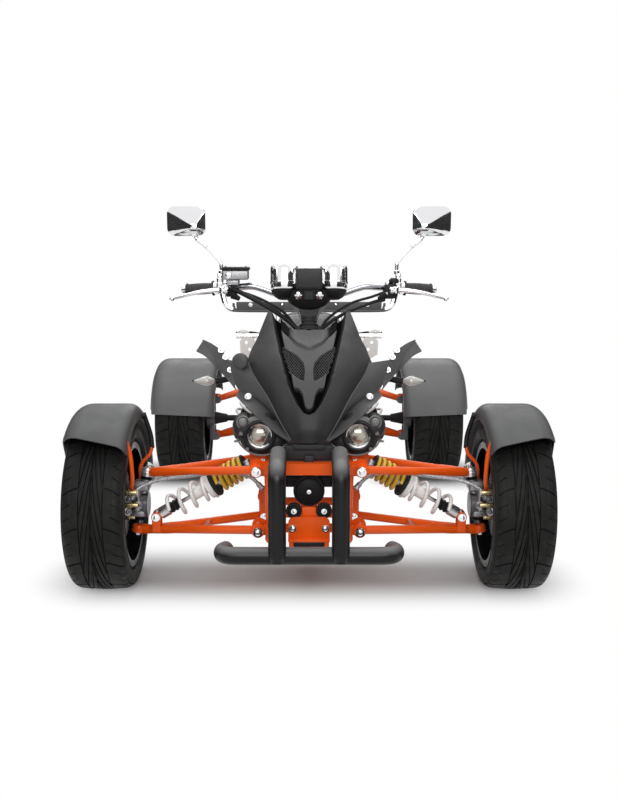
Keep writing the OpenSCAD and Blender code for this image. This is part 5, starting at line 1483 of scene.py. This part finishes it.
# Front uprights with caliper, brass pins, hose union and the fender's struts, in mm, left side
uprightShape = dict(pins=[((462, -746, 303), 40, 7.5), ((460, -746, 268), 42, 7.0),
                          ((472, -744, 233), 28, 5.5)],
                    unions=[(486, -748, 285), (462, -728, 262), (488, -748, 250)],
                    union=[(0, 9), (6, 9), (8, 7), (8, 1), (11, 0), (11, -6), (0, -6)],
                    spindle=[(0, 0), (34, 0), (36, 2), (36, 52), (34, 54), (15, 54), (15, 150), (0, 150)],
                    front=[(487, -772, 456), (478, -771, 432), (473, -767, 404), (472, -757, 350),
                           (478, -734, 314), (488, -706, 300)],
                    rear=[(480, -590, 292), (478, -582, 340), (454, -574, 370), (447, -568, 392)],
                    strap=[(447, -568, 386), (452, -560, 424), (469, -556, 478)])


def makeUprights(side):
    s = uprightShape
    name = "Left" if side > 0 else "Right"
    body = "knuckle_body_" + name.lower()

    def place(p):
        return Vector((side * p[0], p[1], p[2]))

    def block(bm, low, high, soft):
        near, far = (low[0], high[0]) if side > 0 else (-high[0], -low[0])
        softBox(bm, (near, *low[1:]), (far, *high[1:]), soft)

    pin = place(kingpinWay)
    root = place(lowBall + kingpinWay * 112)
    tip = root + Vector((0, 1, -kingpinWay.y / kingpinWay.z)).normalized() * 85
    low, high = place(lowBall), place(highBall)
    cast, dark, brass, steel, orange = [bmesh.new() for k in range(5)]
    sweep(cast, [low + pin * 14, low + pin * 60, high - pin * 24], [15, 13, 15], 24)
    block(cast, (446, -646, 276), (494, -590, 305), 11)
    block(cast, (457, -654, 205), (506, -598, 229), 9)
    block(cast, (470, -660, 222), (500, -600, 286), 8)
    sweep(cast, [root, root.lerp(tip, 0.5), tip], 9.0, 16)
    revolve(cast, [(0, -8), (12, -8), (13, -7), (13, 8), (12, 9), (5, 9), (5, 36), (0, 36)], tip, pin, 28)
    for k, at in enumerate(s["unions"]):
        way = Vector((-side * 0.5, -0.8, 0.2))
        revolve(cast if k else steel, s["union"], place(at), way, 24)
        bolt(steel, place(at) + way * 9.2, way, 4.0, False)
    revolve(steel, s["spindle"], place((452, frontY, axleZ)), (side, 0, 0), 40)
    block(dark, (494, -728, 234), (514, -676, 320), 5)     # caliper halves either side of the disc
    block(dark, (532, -728, 240), (547, -676, 316), 5)
    block(dark, (494, -740, 240), (547, -727, 314), 4)
    block(dark, (476, -700, 240), (500, -640, 268), 4)
    for at, way, start in ((high, pin, -23), (low, -pin, -14)):
        for k in range(3):
            fold = [(8.2, 0), (18 - 2 * k, 1.2), (18 - 2 * k, 2.6), (8.2, 3.8)]
            revolve(dark, fold, at + way * (start + 3.7 * k), way, 28, closed=True)
        revolve(steel, [(0, -4), (8, -4), (8, 18), (0, 18)], at + way * (start + 2), way, 24)
    for at, long, r in s["pins"]:
        rows = [(0, 0), (r - 1, 0), (r, 1), (r, long * 0.42), (r + 1.8, long * 0.46),
                (r + 1.8, long * 0.62), (r, long * 0.66), (r, long - 1), (r - 1, long), (0, long)]
        revolve(brass, rows, place(at), (side, 0, 0), 24)
    sweep(orange, [place(p) for p in smoothPath(s["front"], 36)], 5.5, 14)
    sweep(orange, [place(p) for p in smoothPath(s["rear"], 30)], 5.0, 14)
    sweep(dark, [place(p) for p in smoothPath(s["strap"], 24)], 6.5, 14)
    revolve(dark, [(0, -4), (9, -4), (10, -3), (10, 6), (0, 6)], place(s["strap"][-1]), (side, 0, 0), 24)
    finishPieces([(cast, "uprightCasting" + name, "castAlloy", "cast", "knuckle_" + name.lower()),
                  (dark, "caliperAndBoots" + name, "softBlack", "rubber"),
                  (brass, "brassPins" + name, "zincBrass", "steel"),
                  (steel, "uprightSteel" + name, "darkSteel", "steel"),
                  (orange, "fenderStruts" + name, "orangePaint", "orange", "fender_stay_" + name.lower())],
                 body, sharp=34)


makeArms()
makeUprights(1)
makeUprights(-1)
print("arms and uprights made")

# Rear fender struts from the carriers to the skirts, in mm, left side
rearStrutRows = [[(399, 680, 334), (388, 670, 390), (381, 658, 446)],
                 [(399, 740, 334), (388, 754, 388), (381, 772, 440)]]


def makeRearStruts():
    bm = bmesh.new()
    for row in rearStrutRows:
        sweep(bm, smoothPath(row, 24), 7.0, 16)
        revolve(bm, [(0, -5), (10, -5), (11, -4), (11, 7), (0, 7)], row[-1], (1, 0, 0), 24)
    finishPiece(bm, "rearStruts", "satinBlack", "chassis", ["rear_fender_stays"], both=True)


# Cover screws and filler plugs on the engine block's sides, in mm
engineRow = dict(face=120.0, place=(530, 40), z=312.0, ring=62.0, screws=8,
                 plug=[(0, 12), (9, 12), (12, 10), (12, 4), (16, 2), (16, -3), (0, -3)])


def makeEngineScrews():
    e = engineRow
    bm = bmesh.new()
    for side in (-1, 1):
        y = frontY + e["place"][0] + side * e["place"][1]
        for k in range(e["screws"]):
            a = math.tau * (k + 0.5) / e["screws"]
            at = (side * e["face"], y + e["ring"] * math.cos(a), e["z"] + e["ring"] * math.sin(a))
            bolt(bm, at, (side, 0, 0), 5.0)
        revolve(bm, [(0, 5), (34, 5), (38, 2), (40, -2), (0, -2)], (side * e["face"], y, e["z"]),
                (side, 0, 0), 48)
        revolve(bm, e["plug"], (side * e["face"], y + 18, e["z"] - 6), (side, 0, 0), 28)
    finishPiece(bm, "engineScrews", "castAlloy", "chassis", sharp=34)


makeRearStruts()
makeEngineScrews()
print("rear struts and engine screws made")

# Turn lamps: a kite of pale lens on a black stem, in mm, left side; widest is a share of the half length
turnRows = [dict(at=(307, -440, 561), size=(36, 16, 15), widest=-0.16,
                 stem=[(276, -440, 560), (244, -440, 566), (206, -442, 571), (167, -442, 573)],
                 stemSize=[11, 9, 7, 7]),
            dict(at=(271, 746, 589), size=(30, 16, 11), widest=0.1,
                 stem=[(246, 746, 588), (226, 744, 587), (205, 738, 584)], stemSize=[6, 5, 5])]


def makeTurnLamps():
    clear, dark = bmesh.new(), bmesh.new()
    for row in turnRows:
        made = bmesh.ops.create_icosphere(clear, subdivisions=4, radius=1.0)["verts"]
        for v in made:
            x, y, z = v.co
            girth = math.sqrt(max(1 - x * x, 1e-6))
            reach = abs(x - row["widest"]) / (1 - row["widest"] if x > row["widest"] else 1 + row["widest"])
            wide = 1 - reach ** 1.35 if reach < 1 else 0.0
            long, deep, high = row["size"]
            v.co = Vector(row["at"]) + Vector((x * long, y / girth * wide * deep, z / girth * wide * high))
        bmesh.ops.remove_doubles(clear, verts=made, dist=0.05)
        sweep(dark, row["stem"], row["stemSize"], 14)
        x, y, z = row["at"]
        bmesh.ops.create_icosphere(dark, subdivisions=2, radius=3.2,
                                   matrix=Matrix.Translation((x + row["size"][0] - 1, y, z)))
    finishPieces([(clear, "turnLenses", "turnGlass", "lens", "indicators"),
                  (dark, "turnStems", "softBlack", "black_plastic")],
                 "chassis", sharp=60, both=True)


# Rear rack: a dark tray with bright bolts and two holed plates below it, in mm
rackShape = dict(low=(-309, 879, 665), high=(309, 885, 706), bolts=[114, 248],
                 plate=[(222, 502), (244, 478), (282, 500), (284, 556), (266, 576), (238, 576), (222, 560)],
                 holes=[(258, 550), (244, 521)], holeRadius=7.0, y=(716.0, 721.0),
                 edge=[(-322, 884, 700), (-314, 880, 676), (-296, 878, 667), (0, 878, 666), (296, 878, 667),
                       (314, 880, 676), (322, 884, 700)])


def makeRack():
    s = rackShape
    tray, bolts, plates = bmesh.new(), bmesh.new(), bmesh.new()
    softBox(tray, s["low"], s["high"], 2.5)
    sweep(tray, smoothPath(s["edge"], 60), 5.0, 12)
    for x in s["bolts"]:
        bolt(bolts, (x, 878.5, 694), (0, -1, 0), 5.5)
    mirrored(bolts)
    loops = [s["plate"]]
    for x, z in s["holes"]:
        angles = [math.tau * k / 20 for k in range(20)]
        loops.append([(x + s["holeRadius"] * math.cos(a), z + s["holeRadius"] * math.sin(a)) for a in angles])
    for loop in loops:
        verts = [plates.verts.new((x, s["y"][0], z)) for x, z in loop]
        for pair in zip(verts, verts[1:] + verts[:1]):
            plates.edges.new(pair)
    made = bmesh.ops.triangle_fill(plates, use_beauty=True, use_dissolve=False, edges=plates.edges[:])["geom"]
    filled = only(bmesh.types.BMFace, made)
    bmesh.ops.recalc_face_normals(plates, faces=filled)
    grown = bmesh.ops.extrude_face_region(plates, geom=filled, use_keep_orig=True)["geom"]
    bmesh.ops.translate(plates, verts=only(bmesh.types.BMVert, grown), vec=(0, s["y"][1] - s["y"][0], 0))
    mirrored(plates)
    finishPieces([(tray, "rackTray", "wingPlastic", "black_metal", "rack_plate"),
                  (bolts, "rackBolts", "chrome", "chrome"),
                  (plates, "rackPlates", "coilWhite", "alloy", "rack_brackets")],
                 "chassis", sharp=34)


# Seat: a long padded saddle with a raised step behind, piping and cross seams; y, half width, top, foot in mm
seatRows = [(-99.3, 84, 640, 510), (-82, 100, 652, 506), (38, 118, 622, 506), (180, 138, 610, 510),
            (300, 142, 622, 522), (360, 138, 650, 536), (420, 130, 672, 578), (560, 118, 682, 588),
            (640, 96, 676, 600), (656, 78, 660, 612)]
seatShape = dict(around=56, steps=90, puff=5.0, seams=[-20, 70, 160, 250, 440, 520], seamWidth=5.0,
                 seamDepth=6.0, piping=2.6, endRun=30, endDrop=4.0, square=0.6)


def seatSection(y):
    i = max(k for k in range(len(seatRows) - 1) if seatRows[k][0] <= y + 0.01)
    return along(seatRows, i + min((y - seatRows[i][0]) / (seatRows[i + 1][0] - seatRows[i][0]), 1.0))


def seatPoint(y, a):
    s = seatShape
    wide, top, foot = seatSection(y)[1:]
    c, n = math.cos(a), math.sin(a)
    x = wide * math.copysign(abs(c) ** s["square"], c)
    z = mix(foot, top, 0.5 + 0.5 * math.copysign(abs(n) ** s["square"], n))
    crown = max(n, 0.0)
    dip = sum(math.exp(-((y - seam) / s["seamWidth"]) ** 2) for seam in s["seams"])
    first, last = seatRows[0][0], seatRows[-1][0]
    inset = min(ease(y, first, first + s["endRun"]), 1 - ease(y, last - s["endRun"], last))
    z += crown * inset * (s["puff"] * (1 - abs(c) ** 3) - s["seamDepth"] * dip)
    return Vector((x, y, z - s["endDrop"] * (1 - inset) * crown))


def makeSeat():
    s = seatShape
    bm = bmesh.new()
    bmesh.ops.create_grid(bm, x_segments=s["around"], y_segments=s["steps"], size=0.5)
    first, last = seatRows[0][0], seatRows[-1][0]
    for v in bm.verts:
        v.co = seatPoint(mix(first, last, v.co.y + 0.5), math.tau * (v.co.x + 0.5))
    bmesh.ops.remove_doubles(bm, verts=bm.verts, dist=0.01)
    bmesh.ops.holes_fill(bm, edges=[e for e in bm.edges if e.is_boundary], sides=0)
    for side in (-1, 1):                                    # piping along the shoulder
        line = [seatPoint(mix(first + 6, last - 6, k / 80), math.pi / 2 - side * 1.02) for k in range(81)]
        sweep(bm, line, s["piping"], 8)
    piece = finishPiece(bm, "paddedSeat", "seatVinyl", "chassis", ["seat"], sharp=60)


makeTurnLamps()
makeRack()
makeSeat()
print("turn lamps, rack and seat made")
